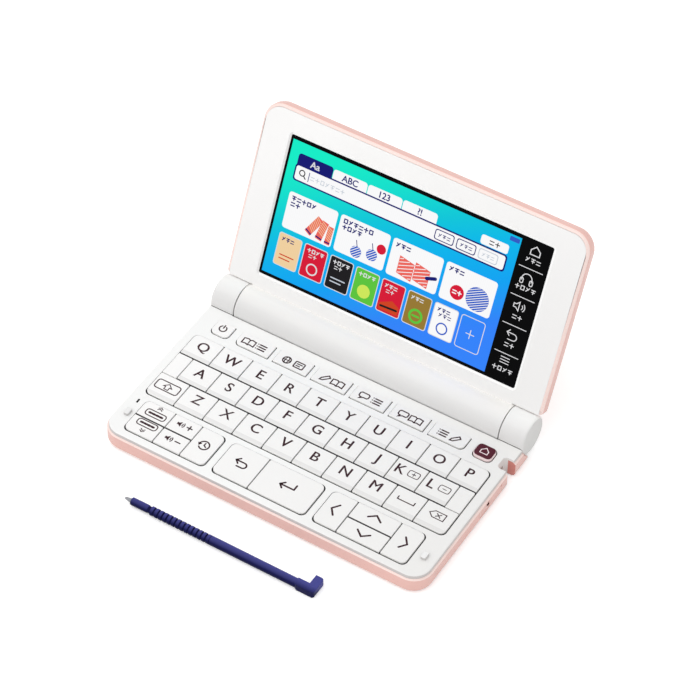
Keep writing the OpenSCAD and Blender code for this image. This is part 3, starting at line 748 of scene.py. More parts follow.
def make_lid_frame():
    half, end = HALF_W - FRAME_INSET, LID_LEN - FRAME_INSET
    glass = (-GLASS_HALF, GLASS_HALF, GLASS_LOW, GLASS_TOP)
    plate, room, joint, barrel, window, step, bores, door = [Part(on_lid) for _ in range(8)]
    plate.loft(outlines(-half, half, LID_START - 0.1, end, [0.5, 0.5, 6.95, 6.95],
                        [(0, FACE_D - 1.6)] + edge_levels(FACE_D, 0.2, 3), 12))
    size = BARREL_R + LID_ROOM
    room.turned([(0, size), (4 * HALF_W, size)], -2 * HALF_W, 0, 0, 96)
    joint.box(-60.8, 60.8, 5, LID_START + 1.4, -6.2, FACE_D)
    edge = [(0, BARREL_R - 0.3), (0.09, BARREL_R - 0.09), (0.3, BARREL_R)]
    edge += [(2 * BARREL_HALF - d, r) for d, r in edge[::-1]]
    barrel.turned(edge, -BARREL_HALF, 0, 0, 144)
    window.loft(outlines(*glass, [0.75] * 4, [(0.05, FACE_D - 3), (0.05, 1)]))
    # The sloped band round the glass is painted whiter than the frame: a painted highlight.
    levels = [(0.07, GLASS_D - 0.05), (0.9, FACE_D - 0.02), (1.0, FACE_D), (1.0, 1)]
    step.loft(outlines(*glass, [0.9] * 4, levels), bands=[BAND_HIGHLIGHT, BAND_HIGHLIGHT, FRAME])
    bores.turned([(0, CELL_BORE_R), (2 * CELL_BORE_HALF, CELL_BORE_R)], -CELL_BORE_HALF, 0, 0, 64)
    for start in (-BARREL_HALF - 1, BARREL_HALF - 5):
        bores.turned([(0, 2.55), (6, 2.55)], start, 0, 0, 32)
    c, t = math.cos(DOOR_TURN), math.sin(DOOR_TURN)
    corner = [(0, -8.418), (10, -8.418), (10, -0.573), (0, -0.573)]
    door.loft([[(x, u * c - v * t, u * t + v * c) for u, v in corner] for x in (-DOOR_HALF, DOOR_HALF)])
    mesh = carved(plate, [(CUT, room), (JOIN, joint), (JOIN, barrel), (CUT, window), (CUT, step), (CUT, bores),
                          (CUT, door)], LID_FINISHES)
    for face in mesh.polygons:
        y, z = face.center.y / MM - AXIS_Y, face.center.z / MM - AXIS_Z
        if math.hypot(y, z) < BARREL_R + 0.05 and abs(z * LID_COS - y * LID_SIN - FACE_D) > 0.02:
            face.material_index = BARREL
        # On its left side the sloped band is painted grey instead: painted shade.
        elif face.material_index == BAND_HIGHLIGHT and face.center.x < (0.4 - GLASS_HALF) * MM:
            face.material_index = BAND_SHADE
    dressed("lid_frame", mesh, "lid", 30.0, ("lid_bezel",))


def inside(point):
    """How far a point of the lower shell lies inside the case's outline."""
    return CORNER_R - math.hypot(max(abs(point.x) - HALF_W + CORNER_R, 0), max(FRONT_Y + CORNER_R - point.y, 0))


def rim_edge(middle):
    return 1.0 if middle.z > 7.6 and inside(middle) < 1.0 else 0.35


def rim_drop(point):
    """The scene's rim is lower than the one of the solids."""
    if point.z < 7.4 or inside(point) > 2.0:
        return 0.0
    return 8.3 - RIM_TOP if point.z > 8 else 0.3


def within(low, high):
    return lambda middle, normal: all(a < c < b for a, c, b in zip(low, middle, high))


def lid_bevel_highlight(middle, normal):
    """The bevel of the lid's shell that shows round its white frame, painted pale as a highlight."""
    level = -(middle.y - AXIS_Y) * LID_SIN + (middle.z - AXIS_Z) * LID_COS
    return level > FACE_D - 1.2 and -normal.y * LID_SIN + normal.z * LID_COS > 0.62


def lid_edge(middle):
    """The share of rounding for the lid's shell: most along its outermost edges."""
    s = (middle.y - AXIS_Y) * LID_COS + (middle.z - AXIS_Z) * LID_SIN
    reach = math.hypot(max(abs(middle.x) - HALF_W + CORNER_R, 0), max(s - LID_LEN + CORNER_R, 0))
    return 1.0 if reach > CORNER_R - 0.1 else 0.18


shell = softened("bottom_case", "lower_shell", "base",
                 [pink_plastic, port_shadow, white_plastic, pale_rim_highlight, shaded_pink_cut], 0.34, rim_edge,
                 rim_drop)
# The rim's bevel round the deck is painted pale: a painted highlight.
paint(shell, pale_rim_highlight,
      lambda middle, normal: middle.z > RIM_TOP - 0.9 and inside(middle) < 1.2 and normal.z > 0.3)
paint(shell, port_shadow, within((70, -3, 2.9), (73.7, 4.5, 7.1)))
paint(shell, white_plastic, within((62, 16.5, 1), (70.9, 26, 9.4)))
# The cut face at the back of the finger notch is painted darker pink: painted shade.
paint(shell, shaded_pink_cut, lambda middle, normal: middle.x > 70.9 and 22 < middle.y < 26 and normal.y < -0.5)
cover = softened("lid_back_cover", "lid_shell", "lid", [pink_plastic, pale_rim_highlight], 0.8, lid_edge)
# The lid shell's bevel round the white frame is painted pale: a painted highlight.
paint(cover, pale_rim_highlight, lid_bevel_highlight)
softened("battery_cover", "battery_door", "battery_cover", [barrel_plastic], 0.1)
flap = softened("usb_cover", "port_flap", "usb_cover", [pink_plastic, pale_rim_highlight], 0.22)
# The flap's bevelled edges are painted pale: a painted highlight.
paint(flap, pale_rim_highlight, lambda middle, normal: middle.x > 73.6 and 0.1 < normal.x < 0.97)
softened("touch_panel", "screen_glass", "lid", [black_glass], 0.1)
pads = softened("rubber_pads", "pads_and_cushions", "base", [cushion_rubber, foot_rubber, cushion_painted_shade],
                0.25)
# The sides of the cushions are painted grey: painted shade.
paint(pads, cushion_painted_shade, lambda middle, normal: middle.z > 5 and normal.z < 0.75)


# ---- Signs: strokes with a path, a width and whether they are closed; without a width, filled ----

def panel(w, h, r):
    return rounded(-w / 2, w / 2, -h / 2, h / 2, [r] * 4, 4)


def scroll_sign(way):
    return ([(panel(9.5, 3.3, 1.2), 0.42, True)]
            + [([(-3.1 + i * 1.75, 0), (-2.1 + i * 1.75, 0)], 0.9) for i in range(4)]
            + [([(-1.0, way * lift), (0, way * (lift + 0.75)), (1.0, way * lift)], 0.34)
               for lift in (3.0, 3.9)])


ARROW_W = 0.78
HOUSE = [(-1.75, 0.15), (0, 1.75), (1.75, 0.15), (1.75, -1.5), (-1.75, -1.5)]
SPEAKER = [([(-2.6, -0.6), (-1.7, -0.6), (-0.7, -1.5), (-0.7, 1.5), (-1.7, 0.6), (-2.6, 0.6)], None),
           (arc(-0.8, 0, 0.9, -42, 42, 5), 0.34), (arc(-0.8, 0, 1.7, -42, 42, 6), 0.34),
           ([(2.3, 0), (4.7, 0)], 0.45)]
SIGNS = {
    "power": [(arc(0, 0, 1.55, 125, 415, 20), 0.38), ([(0, 0.3), (0, 2.0)], 0.38)],
    "house": [(HOUSE, 0.4, True)],
    "shift": [(panel(10.6, 4.7, 1.1), 0.5, True),
              ([(0, 1.6), (1.9, -0.1), (0.9, -0.1), (0.9, -1.5), (-0.9, -1.5), (-0.9, -0.1), (-1.9, -0.1)],
               0.42, True)],
    "space": [([(-3.6, 0.5), (-3.6, -0.9), (3.6, -0.9), (3.6, 0.5)], 0.5)],
    "delete": [([(-3.4, 0), (-1.5, 1.7), (3.3, 1.7), (3.3, -1.7), (-1.5, -1.7)], 0.42, True),
               ([(-0.4, 0.8), (1.5, -0.8)], 0.42), ([(-0.4, -0.8), (1.5, 0.8)], 0.42)],
    "minus": [(panel(4.8, 3.1, 0.8), 0.36, True), ([(-0.8, 0), (0.8, 0)], 0.34)],
    "volume_down": SPEAKER,
    "volume_up": SPEAKER + [([(3.5, -1.2), (3.5, 1.2)], 0.45)],
    "scroll_down": scroll_sign(-1),
    "scroll_up": scroll_sign(1),
    "history": [(arc(0, 0, 2.05, 165, -140, 22), 0.46), ([(-2.9, 0.5), (-1.1, 0.5), (-2.0, -0.9)], None),
                ([(0, 1.2), (0, 0), (0.95, -0.55)], 0.42)],
    "back": [([(-2.6, 0.75)] + arc(1.2, -0.55, 1.3, 90, -90, 8) + [(-1.0, -1.85)], 0.5),
             ([(-1.2, 2.1), (-2.6, 0.75), (-1.2, -0.6)], 0.5)],
    "enter": [([(3.0, 1.9), (3.0, -0.4), (-3.0, -0.4)], 0.55),
              ([(-1.5, 1.1), (-3.0, -0.4), (-1.5, -1.9)], 0.55)],
    "arrow_left": [([(27.6, -31.5), (25.4, -34.4), (27.6, -37.2)], ARROW_W)],
    "arrow_right": [([(57.0, -31.5), (59.2, -34.4), (57.0, -37.2)], ARROW_W)],
    "arrow_up": [([(39.4, -30.6), (42.2, -28.4), (45.1, -30.6)], ARROW_W)],
    "arrow_down": [([(39.4, -38.1), (42.2, -40.4), (45.1, -38.1)], ARROW_W)],
    "book": [([(-2.6, 1.2), (-0.9, 1.5), (0, 1.1), (0.9, 1.5), (2.6, 1.2), (2.6, -1.4), (0.9, -1.1), (0, -1.5),
               (-0.9, -1.1), (-2.6, -1.4)], 0.36, True), ([(0, 1.0), (0, -1.4)], 0.32)],
    "globe": [(circle(0, 0, 1.65, 24), 0.36, True), ([(-1.6, 0), (1.6, 0)], 0.3),
              ([(0.75 * x, 1.6 * y) for x, y in circle(0, 0, 1, 20)], 0.28, True)],
    "list": [stroke for y in (1.2, 0, -1.2)
             for stroke in (([(-1.0, y), (1.9, y)], 0.42), (circle(-1.8, y, 0.28, 20), None))],
    "bubble": [([(-0.9, -0.8), (-1.3, -1.7), (0.1, -0.8), (1.5, -0.8), (2.0, -0.3), (2.0, 1.0), (1.5, 1.5),
                 (-1.5, 1.5), (-2.0, 1.0), (-2.0, -0.3), (-1.5, -0.8)], 0.36, True)],
    "pencil": [([(-1.7, -1.6), (-1.4, -0.5), (0.9, 1.7), (1.8, 0.8), (-0.5, -1.4)], 0.36, True)],
    "card": [(panel(4.0, 3.0, 0.4), 0.36, True), ([(-1.1, 0.5), (1.1, 0.5)], 0.34),
             ([(-1.1, -0.5), (0.4, -0.5)], 0.34)],
}
SIGNS["plus"] = SIGNS["minus"] + [([(0, -0.8), (0, 0.8)], 0.34)]


class Legend:
    """Signs printed on a surface: lines in millimetres about a middle point."""

    def __init__(self, part, x, y, low=KEY_Z - INK_T, high=KEY_Z + INK_T, slot=1, scale=1.0, weight=1.0):
        self.part, self.x, self.y, self.low, self.high = part, x, y, low, high
        self.slot, self.scale, self.weight = slot, scale, weight

    def at(self, points):
        return [(self.x + a * self.scale, self.y + b * self.scale) for a, b in points]

    def line(self, points, width, closed=False):
        wide = width * self.scale * self.weight
        self.part.stroke(self.at(points), wide, self.low, self.high, self.slot, closed)

    def fill(self, points):
        path = self.at(points)
        self.part.prism(path if area(path) > 0 else path[::-1], self.low, self.high, self.slot)

    def draw(self, name):
        for points, width, *closed in SIGNS[name]:
            if width:
                self.line(points, width, bool(closed))
            else:
                self.fill(points)


# ---- Keys ----

def key_rings(x0, x1, y0, y1, radii, sloped):
    """The rings of a key's head, from its lower edge up over its rounded top edge, and the two
    points between which the crease over its sloping front runs."""
    levels = [(0, HEAD_Z)] + edge_levels(KEY_Z, KEY_SOFT, 3)
    rings = outlines(x0, x1, y0, y1, radii, levels)
    if not sloped:
        return rings, None
    crease = y0 + SLOPE_DEPTH
    rings[1:] = [[(x, y, z - max(0.0, crease - y) * SLOPE_DROP / SLOPE_DEPTH) for x, y, z in ring]
                 for ring in rings[1:]]
    inner = rings[-1]
    crossed = [i for i in range(len(inner))
               if (inner[i][1] - crease) * (inner[(i + 1) % len(inner)][1] - crease) < 0]
    for i in crossed[::-1]:
        a, b = inner[i], inner[(i + 1) % len(inner)]
        t = (crease - a[1]) / (b[1] - a[1])
        for ring, (_, z) in zip(rings, levels):
            p, q = ring[i], ring[(i + 1) % len(ring)]
            ring.insert(i + 1, (p[0] + (q[0] - p[0]) * t, p[1] + (q[1] - p[1]) * t, z))
    return rings, (crossed[0] + 1, crossed[1] + 2)


def key_body(part, x0, x1, y0, y1, radii, sloped=False, front=0.0):
    """A key's head, the waist in the hole of the web, and the lip below it."""
    x0, x1, y0, y1 = x0 + KEY_GAP, x1 - KEY_GAP, y0 + KEY_GAP + front, y1 - KEY_GAP
    rings, split = key_rings(x0, x1, y0, y1, radii, sloped)
    part.loft(rings, 0, split)
    part.box(x0 + WAIST, x1 - WAIST, y0 + WAIST, y1 - WAIST, KEY_BOTTOM, HEAD_Z + 0.1)
    part.box(x0 + 2, x1 - 2, y0 + 0.4, y1 - 0.4, KEY_BOTTOM, LIP_TOP)


def make_key(part, name, wall_shaded):
    """A key with its sloping front painted darker as shade, and its front wall painted dark as shade where
    another key stands before.
    """
    node = "key_" + name
    made = part.piece(name + "_keycap", node, [key_plastic, legend_ink, slope_painted_shade, wall_painted_shade], slot="key_white",
                      replaced=(node,))
    # The sloping front is painted darker: painted shade.
    paint(made, slope_painted_shade, lambda middle, normal: -0.3 < normal.y < -0.07 and normal.z > 0.95)
    # Front walls that face another key are painted dark: painted shade in the seam.
    if wall_shaded:
        paint(made, wall_painted_shade, lambda middle, normal: normal.y < -0.6 and HEAD_Z < middle.z < KEY_Z)


LETTER_TOP = 2.9
LETTER_CAP = 4.5


def make_letter_keys():
    """The letter block. The front walls of its two rear rows stand a little further back than in
    the solids, so that the seams show."""
    for name, k in letter_keys():
        part = Part()
        behind = k[3] > BLOCK_Y - 1.5 * ROW_PITCH
        key_body(part, *k, sloped=True, front=SEAM_EXTRA if behind else 0.0)
        middle = (k[0] + k[1]) / 2
        y = k[3] - LETTER_TOP - LETTER_CAP / 2
        if name == "shift":
            Legend(part, middle - 0.1, y - 0.6).draw(name)
        elif name in SIGNS:
            Legend(part, middle, y).draw(name)
        else:
            beside = {"k": "plus", "l": "minus"}.get(name)
            part.text(name.upper(), LETTER_CAP, middle - 3.1 if beside else middle, y, KEY_Z, 1)
            if beside:
                Legend(part, middle + 2.7, y + 0.1).draw(beside)
        if name in "fj":
            part.box(middle - 1.5, middle + 1.5, k[2] + 2.6, k[2] + 3.1, KEY_Z - 0.1, KEY_Z + 0.2)
        make_key(part, name, behind)


# The place of each sign, its scale and its weight.
PAD_SIGNS = {
    "scroll_up": (-57.9, -31.2, 0.95, 1.2), "scroll_down": (-57.9, -37.1, 0.95, 1.2),
    "volume_up": (-46.0, -29.9, 0.95, 1.35), "volume_down": (-46.0, -38.5, 0.95, 1.35),
    "history": (-33.0, -34.2, 1.05, 1.3), "back": (-15.7, -34.2, 1.05, 1.3), "enter": (5.7, -34.2, 1.05, 1.3),
}
DICTIONARY_SIGNS = [("book", "list"), ("globe", "card"), ("pencil", "book"), ("bubble", "list"),
                    ("bubble", "book"), ("list", "pencil")]


def make_pad_keys():
    for name, k in PAD_KEYS.items():
        part = Part()
        key_body(part, *k)
        x, y, scale, weight = PAD_SIGNS.get(name, (0.5, 0, 1.0, 1.0))
        Legend(part, x, y, scale=scale, weight=weight).draw(name)
        make_key(part, name, k[2] == PAD_SPLIT)


def make_rear_keys():
    power = Part()
    key_body(power, *POWER_KEY)
    Legend(power, -61.2, 22.2, weight=1.5).draw("power")
    power.piece("power_keycap", "key_power", [key_plastic, legend_ink], slot="key_white",
                replaced=("key_power",))

    row = Part()
    for k, names in zip(DICTIONARY_KEYS, DICTIONARY_SIGNS):
        key_body(row, *k)
        for name, shift in zip(names, (-2.9, 2.9)):
            Legend(row, k[0] + DICTIONARY_W / 2 + shift, 21.6, scale=1.05, weight=1.5).draw(name)
    row.piece("dictionary_keycaps", "dictionary_keys", [key_plastic, legend_ink], slot="key_white",
              replaced=("dictionary_keys",))

    home = Part()
    key_body(home, *HOME_KEY)
    x0, x1, y0, y1 = HOME_KEY[0] + 0.5, HOME_KEY[1] - 0.7, HOME_KEY[2] + 1.1, HOME_KEY[3] - 0.4
    levels = [(0.0, KEY_Z - 0.1), (0.0, KEY_Z + 0.18), (-0.1, KEY_Z + 0.27), (-0.22, KEY_Z + 0.3)]
    home.loft(outlines(x0, x1, y0, y1, [1.6] * 4, levels), 1)
    Legend(home, (x0 + x1) / 2, (y0 + y1) / 2, KEY_Z + 0.28, KEY_Z + 0.32, 2, 0.92).draw("house")
    home.piece("home_keycap", "key_home", [home_side_plastic, home_plastic, pale_ink], slot="home_key",
               replaced=("key_home",))


make_deck()
make_lid_frame()
make_letter_keys()
make_pad_keys()
make_rear_keys()


# ---- What repeats, made with geometry nodes; their sizes are in millimetres ----

def row_tree(name, sockets, shape):
    """A tree with named inputs that sets out a shape in a row."""
    tree = bpy.data.node_groups.new(name, "GeometryNodeTree")
    tree.is_modifier = True
    tree.interface.new_socket(name="Geometry", in_out="INPUT", socket_type="NodeSocketGeometry")
    kinds = {"Count": "Int", "Pitch": "Vector", "Start": "Vector", **{label: "Float" for label in sockets},
             "Material": "Material"}
    for label, kind in kinds.items():
        tree.interface.new_socket(name=label, in_out="INPUT", socket_type="NodeSocket" + kind)
    tree.interface.new_socket(name="Geometry", in_out="OUTPUT", socket_type="NodeSocketGeometry")
    given = tree.nodes.new("NodeGroupInput").outputs

    def add(kind, inputs, result, **settings):
        return add_node(tree, "GeometryNode" + kind, inputs, **settings).outputs[result]

    one = shape(given, add)
    places = {"Count": given["Count"], "Start Location": given["Start"], "Offset": given["Pitch"]}
    line = add("MeshLine", places, "Mesh")
    spread = add("InstanceOnPoints", {"Points": line, "Instance": one}, "Instances")
    real = add("RealizeInstances", {"Geometry": spread}, "Geometry")
    coat = add("SetMaterial", {"Geometry": real, "Material": given["Material"]}, "Geometry")
    feed(tree, tree.nodes.new("NodeGroupOutput"), {"Geometry": coat})
    return tree


def ring_shape(given, add):
    """A rounded ring about x, as on a grip."""
    path = add("CurvePrimitiveCircle", {"Resolution": 48, "Radius": given["Radius"]}, "Curve")
    sizes = {"Width": given["Ring Height"], "Height": given["Ring Width"]}
    bar = add("CurvePrimitiveQuadrilateral", sizes, "Curve")
    soft = add("FilletCurve", {"Curve": bar, "Count": 4, "Limit Radius": True, "Radius": given["Softness"]},
               "Curve", mode="POLY")
    sweep = add("CurveToMesh", {"Curve": path, "Profile Curve": soft}, "Mesh")
    return add("Transform", {"Geometry": sweep, "Rotation": (0, math.pi / 2, 0)}, "Geometry")


def card_shape(given, add):
    """A thin plate with rounded corners."""
    card = add("CurvePrimitiveQuadrilateral", {"Width": given["Width"], "Height": given["Height"]}, "Curve")
    soft = add("FilletCurve", {"Curve": card, "Count": 5, "Limit Radius": True, "Radius": given["Corner"]},
               "Curve", mode="POLY")
    fill = add("FillCurve", {"Curve": soft}, "Mesh", mode="NGONS")
    thick = add("ExtrudeMesh", {"Mesh": fill, "Offset Scale": given["Thickness"], "Individual": False}, "Mesh")
    back = add("FlipFaces", {"Mesh": fill}, "Mesh")
    return add("JoinGeometry", {"Geometry": [thick, back]}, "Geometry")


def grown(name, tree, values):
    """The mesh that a tree gives for these inputs."""
    holder = placed(name, bpy.data.meshes.new(name))
    modifier = holder.modifiers.new("grown", "NODES")
    modifier.node_group = tree
    sockets = {s.name: s.identifier for s in tree.interface.items_tree if s.in_out == "INPUT"}
    for label, value in values.items():
        modifier[sockets[label]] = value
    mesh = baked(holder)
    bpy.data.objects.remove(holder)
    return mesh


RING_ROW = row_tree("ring_row", ["Radius", "Ring Width", "Ring Height", "Softness"], ring_shape)
CARD_ROW = row_tree("card_row", ["Width", "Height", "Corner", "Thickness"], card_shape)


# ---- Stylus ----

GRIP_START = 12.95
GRIP_PITCH = 2.0
GRIP_COUNT = 14
BEAD_W = 1.34
BEAD_H = 0.62


def make_stylus():
    pen = Part()
    core = PEN_R - 0.3
    grip_end = GRIP_START + GRIP_COUNT * GRIP_PITCH - 1.2
    length = PEN_END_X - PEN_TIP_X
    pen.turned([(3.1, 1.04), (3.12, 1.42), (3.32, 1.62), (10.6, 1.65), (10.9, 1.55), (10.98, 1.4), (12.1, 1.4),
                (12.15, core), (grip_end, core), (grip_end + 0.02, 1.75), (grip_end + 0.2, PEN_R),
                (length - 6, PEN_R), (length - 1, PEN_R)], PEN_TIP_X, PEN_Y, PEN_R)
    pen.take(grown("grip_rings", RING_ROW, {
        "Count": GRIP_COUNT, "Pitch": (GRIP_PITCH, 0.0, 0.0),
        "Start": (PEN_TIP_X + GRIP_START + 0.03, PEN_Y, PEN_R), "Radius": PEN_R - BEAD_H / 2,
        "Ring Width": BEAD_W, "Ring Height": BEAD_H, "Softness": 0.16, "Material": navy_plastic}), lambda p: p)
    hook(pen)
    made = pen.piece("pen_body", "stylus", [navy_plastic, groove_painted_shade], 50.0, "stylus_navy", ("stylus_barrel",))
    # The grooves of the grip are painted darker: painted shade.
    paint(made, groove_painted_shade, lambda middle, normal: 11 < middle.x - PEN_TIP_X < grip_end + 0.1 and
          math.hypot(middle.y - PEN_Y, middle.z - PEN_R) < PEN_R - 0.12)

    tip = Part()
    tip.turned([(0.0, 0.2), (0.05, 0.36), (0.22, 0.52), (3.2, 0.98), (7.0, 0.98)], PEN_TIP_X, PEN_Y, PEN_R, 32)
    tip.piece("pen_point", "stylus", [tip_plastic], 50.0, "stylus_tip", ("stylus_tip",))


def hook(part):
    """The head: a thick block on the barrel, and the hook that stands out behind it."""
    x0, x1 = PEN_END_X - 8.8, PEN_END_X
    outline = (arc(x0 + 1.4, PEN_Y - 0.65, 1.4, 180, 270, 6) + arc(x1 - 1, PEN_Y - 1.05, 1, 270, 360, 6)
               + arc(x1 - 1.2, PEN_Y + 5.1, 1.2, 0, 90, 6)
               + [(x1 - 3.8, PEN_Y + 6.3), (x1 - 3.8, PEN_Y + 1.7), (x0, PEN_Y + 1.7)])

    def inset(amount):
        line = []
        for before, (x, y), after in zip(outline[-1:] + outline, outline, outline[1:] + outline[:1]):
            a = unit(x - before[0], y - before[1])
            b = unit(after[0] - x, after[1] - y)
            m = unit(a[0] + b[0], a[1] + b[1])
            grow = amount / max(0.4, m[0] * a[0] + m[1] * a[1])
            line.append((x - m[1] * grow, y + m[0] * grow))
        return line

    edge = 0.35
    top, low = 2 * PEN_R - 0.15, 0.15
    levels = [(edge, low), (edge * 0.3, low + edge * 0.3), (0, low + edge), (0, top - edge),
              (edge * 0.3, top - edge * 0.3), (edge, top)]
    part.loft([[(x, y, z) for x, y in inset(amount)] for amount, z in levels])


make_stylus()


# ---- Screen ----

PLATE_T = 0.02
LEVEL_STEP = 0.012
MARK_PITCH = 2.35
STRIPE_PITCH = 0.95
MARKS = [[[(-0.8, 0.7), (0.8, 0.7)], [(0, 0.7), (0, -0.9)], [(-0.6, -0.2), (0.6, -0.2)]],
         [[(-0.7, 0.8), (0.7, 0.8), (0.7, -0.8), (-0.7, -0.8), (-0.7, 0.8)]],
         [[(-0.8, 0.5), (0.8, 0.5)], [(-0.8, -0.7), (0.8, -0.7)]],
         [[(-0.7, -0.8), (0.6, 0.8)], [(-0.6, 0.6), (0.1, -0.1)]],
         [[(-0.8, 0.1), (0.8, 0.1)], [(0, 0.9), (0, -0.9)]]]


def level(step):
    """The lower side of a plate on the glass; each step lies above the one before."""
    return GLASS_D - 0.01 + LEVEL_STEP * step


class Display(Part):
    """The picture on the glass, made of thin plates."""

    def patch(self, x0, x1, s0, s1, r, step, slot):
        self.prism(rounded(x0, x1, s0, s1, [r] * 4, 4), level(step), level(step) + PLATE_T, slot)

    def sign(self, x, s, slot, step=4, scale=1.0):
        return Legend(self, x, s, level(step), level(step) + PLATE_T, slot, scale)

    def cards(self, count, pitch, x, s, w, h, corner, step, slot):
        """A row of plates; x and s are the middle of the first one."""
        mesh = grown("cards", CARD_ROW, {
            "Count": count, "Pitch": (pitch, 0.0, 0.0), "Start": (x, s, 0.0), "Width": w, "Height": h,
            "Corner": corner, "Thickness": PLATE_T, "Material": SCREEN[GLOW]})
        self.take(mesh, lambda p: (p.x, p.y, level(step) + p.z), slot)

    def marks(self, x, s, count, slot, step=2, size=1.0, width=0.34):
        """A line of plain marks that stands for words; x and s are the middle of the first one."""
        for i in range(count):
            mark = self.sign(x + i * MARK_PITCH * size, s, slot, step, size)
            for path in MARKS[(2 * i + count) % len(MARKS)]:
                mark.line(path, width / size)

    def disc(self, x, s, r, slot):
        self.sign(x, s, slot, 2).fill(circle(0, 0, r, 20))

    def striped_disc(self, x, s, r, turn):
        """A blue disc with white stripes."""
        self.disc(x, s, r, BLUE)
        c, t = math.cos(math.radians(turn)), math.sin(math.radians(turn))
        for i in range(int((2 * r - 1) / STRIPE_PITCH) + 1):
            k = 0.75 - r + i * STRIPE_PITCH
            half = math.sqrt(r * r - k * k) - 0.25
            self.sign(x, s, WHITE, 3).line([(-half * c - k * t, -half * t + k * c),
                                            (half * c - k * t, half * t + k * c)], 0.3)

    def striped_band(self, top, foot, width):
        """A slanted coral band with slanted stripes and a dark end."""
        long = math.hypot(foot[0] - top[0], foot[1] - top[1])
        u = unit(foot[0] - top[0], foot[1] - top[1])
        half = width / 2

        def at(*places):
            return [(top[0] + u[0] * a - u[1] * b, top[1] + u[1] * a + u[0] * b) for a, b in places]

        self.sign(0, 0, CORAL, 2).fill(at((0, -half), (long, -half), (long, half), (0, half)))
        for i in range(int((long - 2.2) / STRIPE_PITCH)):
            start = 0.5 + i * STRIPE_PITCH
            self.sign(0, 0, CREAM, 3).line(at((start, 0.2 - half), (start + 1.0, half - 0.2)), 0.28)
        self.sign(0, 0, NAVY, 3).line(at((long - 0.8, 0.2 - half), (long - 0.8, half - 0.2)), 0.6)


def search_bar(screen):
    """The upper part of the display: four tabs, a line for words and its buttons."""
    screen.cards(1, 0, -46.5, 67.6, 16.2, 6.2, 1.3, 1, NAVY)
    screen.cards(3, 16.1, -30.3, 67.4, 15.7, 5.8, 1.3, 1, WHITE)
    screen.patch(-55.0, 42.2, 58.8, 66.1, 1.3, 2, NAVY)
    screen.patch(-54.35, 41.55, 59.45, 65.45, 1.0, 3, WHITE)
    screen.cards(2, 9.85, 14.6, 62.4, 8.7, 4.5, 1.0, 4, NAVY)
    screen.cards(1, 9.85, 34.3, 62.4, 8.6, 4.4, 1.0, 4, GREY)
    screen.cards(3, 9.85, 14.6, 62.4, 7.9, 3.7, 0.8, 5 - 1 / 6, WHITE)
    screen.patch(29.5, 41.7, 66.4, 70.4, 1.0, 1, WHITE)
    screen.patch(41.0, 45.3, 72.6, 74.5, 0.4, 1, BLUE)
    screen.text("Aa", 2.7, -46.5, 68.0, level(2) + 0.01, STRIP)
    for x, word in ((-30.3, "ABC"), (-14.2, "123"), (1.9, "?!")):
        screen.text(word, 2.6, x, 68.1, level(2) + 0.01, NAVY)
    lens = screen.sign(-51.3, 62.5, BLACK)
    lens.line(circle(0, 0.4, 1.2, 18), 0.46, True)
    lens.line([(0.85, -0.5), (1.8, -1.5)], 0.5)
    screen.sign(-48.1, 62.4, NAVY).line([(0, -1.9), (0, 1.9)], 0.34)
    screen.marks(-46.4, 62.4, 7, GREY, 4, 1.0, 0.3)
    for x, slot in ((12.7, NAVY), (22.55, NAVY), (32.4, GREY)):
        screen.marks(x, 62.4, 3, slot, 5, 0.82, 0.32)
    screen.marks(34.3, 68.4, 2, BLACK, 2, 1.1, 0.4)


def panels(screen):
    """Four large panels with two lines of marks and plain striped shapes."""
    screen.cards(4, 24.4, -43.15, 45.8, 23.0, 16.0, 1.3, 1, WHITE)
    for x, first, second in ((-52.1, 5, 2), (-27.7, 6, 4), (-3.3, 3, 0), (21.1, 3, 0)):
        screen.marks(x, 51.4, first, NAVY, 2, 1.0, 0.5)
        screen.marks(x, 48.8, second, NAVY, 2, 1.0, 0.5)
    for top, foot, width in (((-38.4, 47.8), (-43.0, 39.8), 3.2), ((-36.0, 47.4), (-37.8, 39.0), 3.1),
                             ((-33.2, 46.4), (-33.6, 38.5), 2.5)):
        screen.striped_band(top, foot, width)
    for x, s in ((-20.4, 40.9), (-13.4, 42.4)):
        screen.striped_disc(x, s, 2.5, 40)
        screen.sign(x, s, NAVY, 2).line([(0, 2.5), (-0.8, 4.8)], 0.36)
    screen.disc(-9.9, 46.4, 2.1, RED)
    for x0 in (-1.4, 5.9):
        screen.sign(x0, 0, CORAL, 2).fill([(0, 47.6), (7.0, 46.2), (7.0, 38.6), (0, 40.0)])
        for a, b in (((5.4, 39.3), (6.6, 39.7)), ((3.0, 39.8), (6.6, 41.1)), ((0.4, 40.3), (6.6, 42.6)),
                     ((0.4, 41.8), (6.6, 44.1)), ((0.4, 43.3), (6.6, 45.6)), ((0.4, 44.8), (4.6, 46.3)),
                     ((0.4, 46.3), (1.8, 46.8))):
            screen.sign(x0, 0, WHITE, 3).line([a, b], 0.3)
    screen.sign(13.6, 43.4, NAVY, 4).line([(-1.7, -0.4), (2.0, 0.9)], 1.5)
    screen.disc(25.8, 42.8, 3.1, RED)
    screen.marks(24.7, 42.8, 2, WHITE, 3, 0.95, 0.5)
    screen.striped_disc(34.8, 43.6, 5.1, 28)


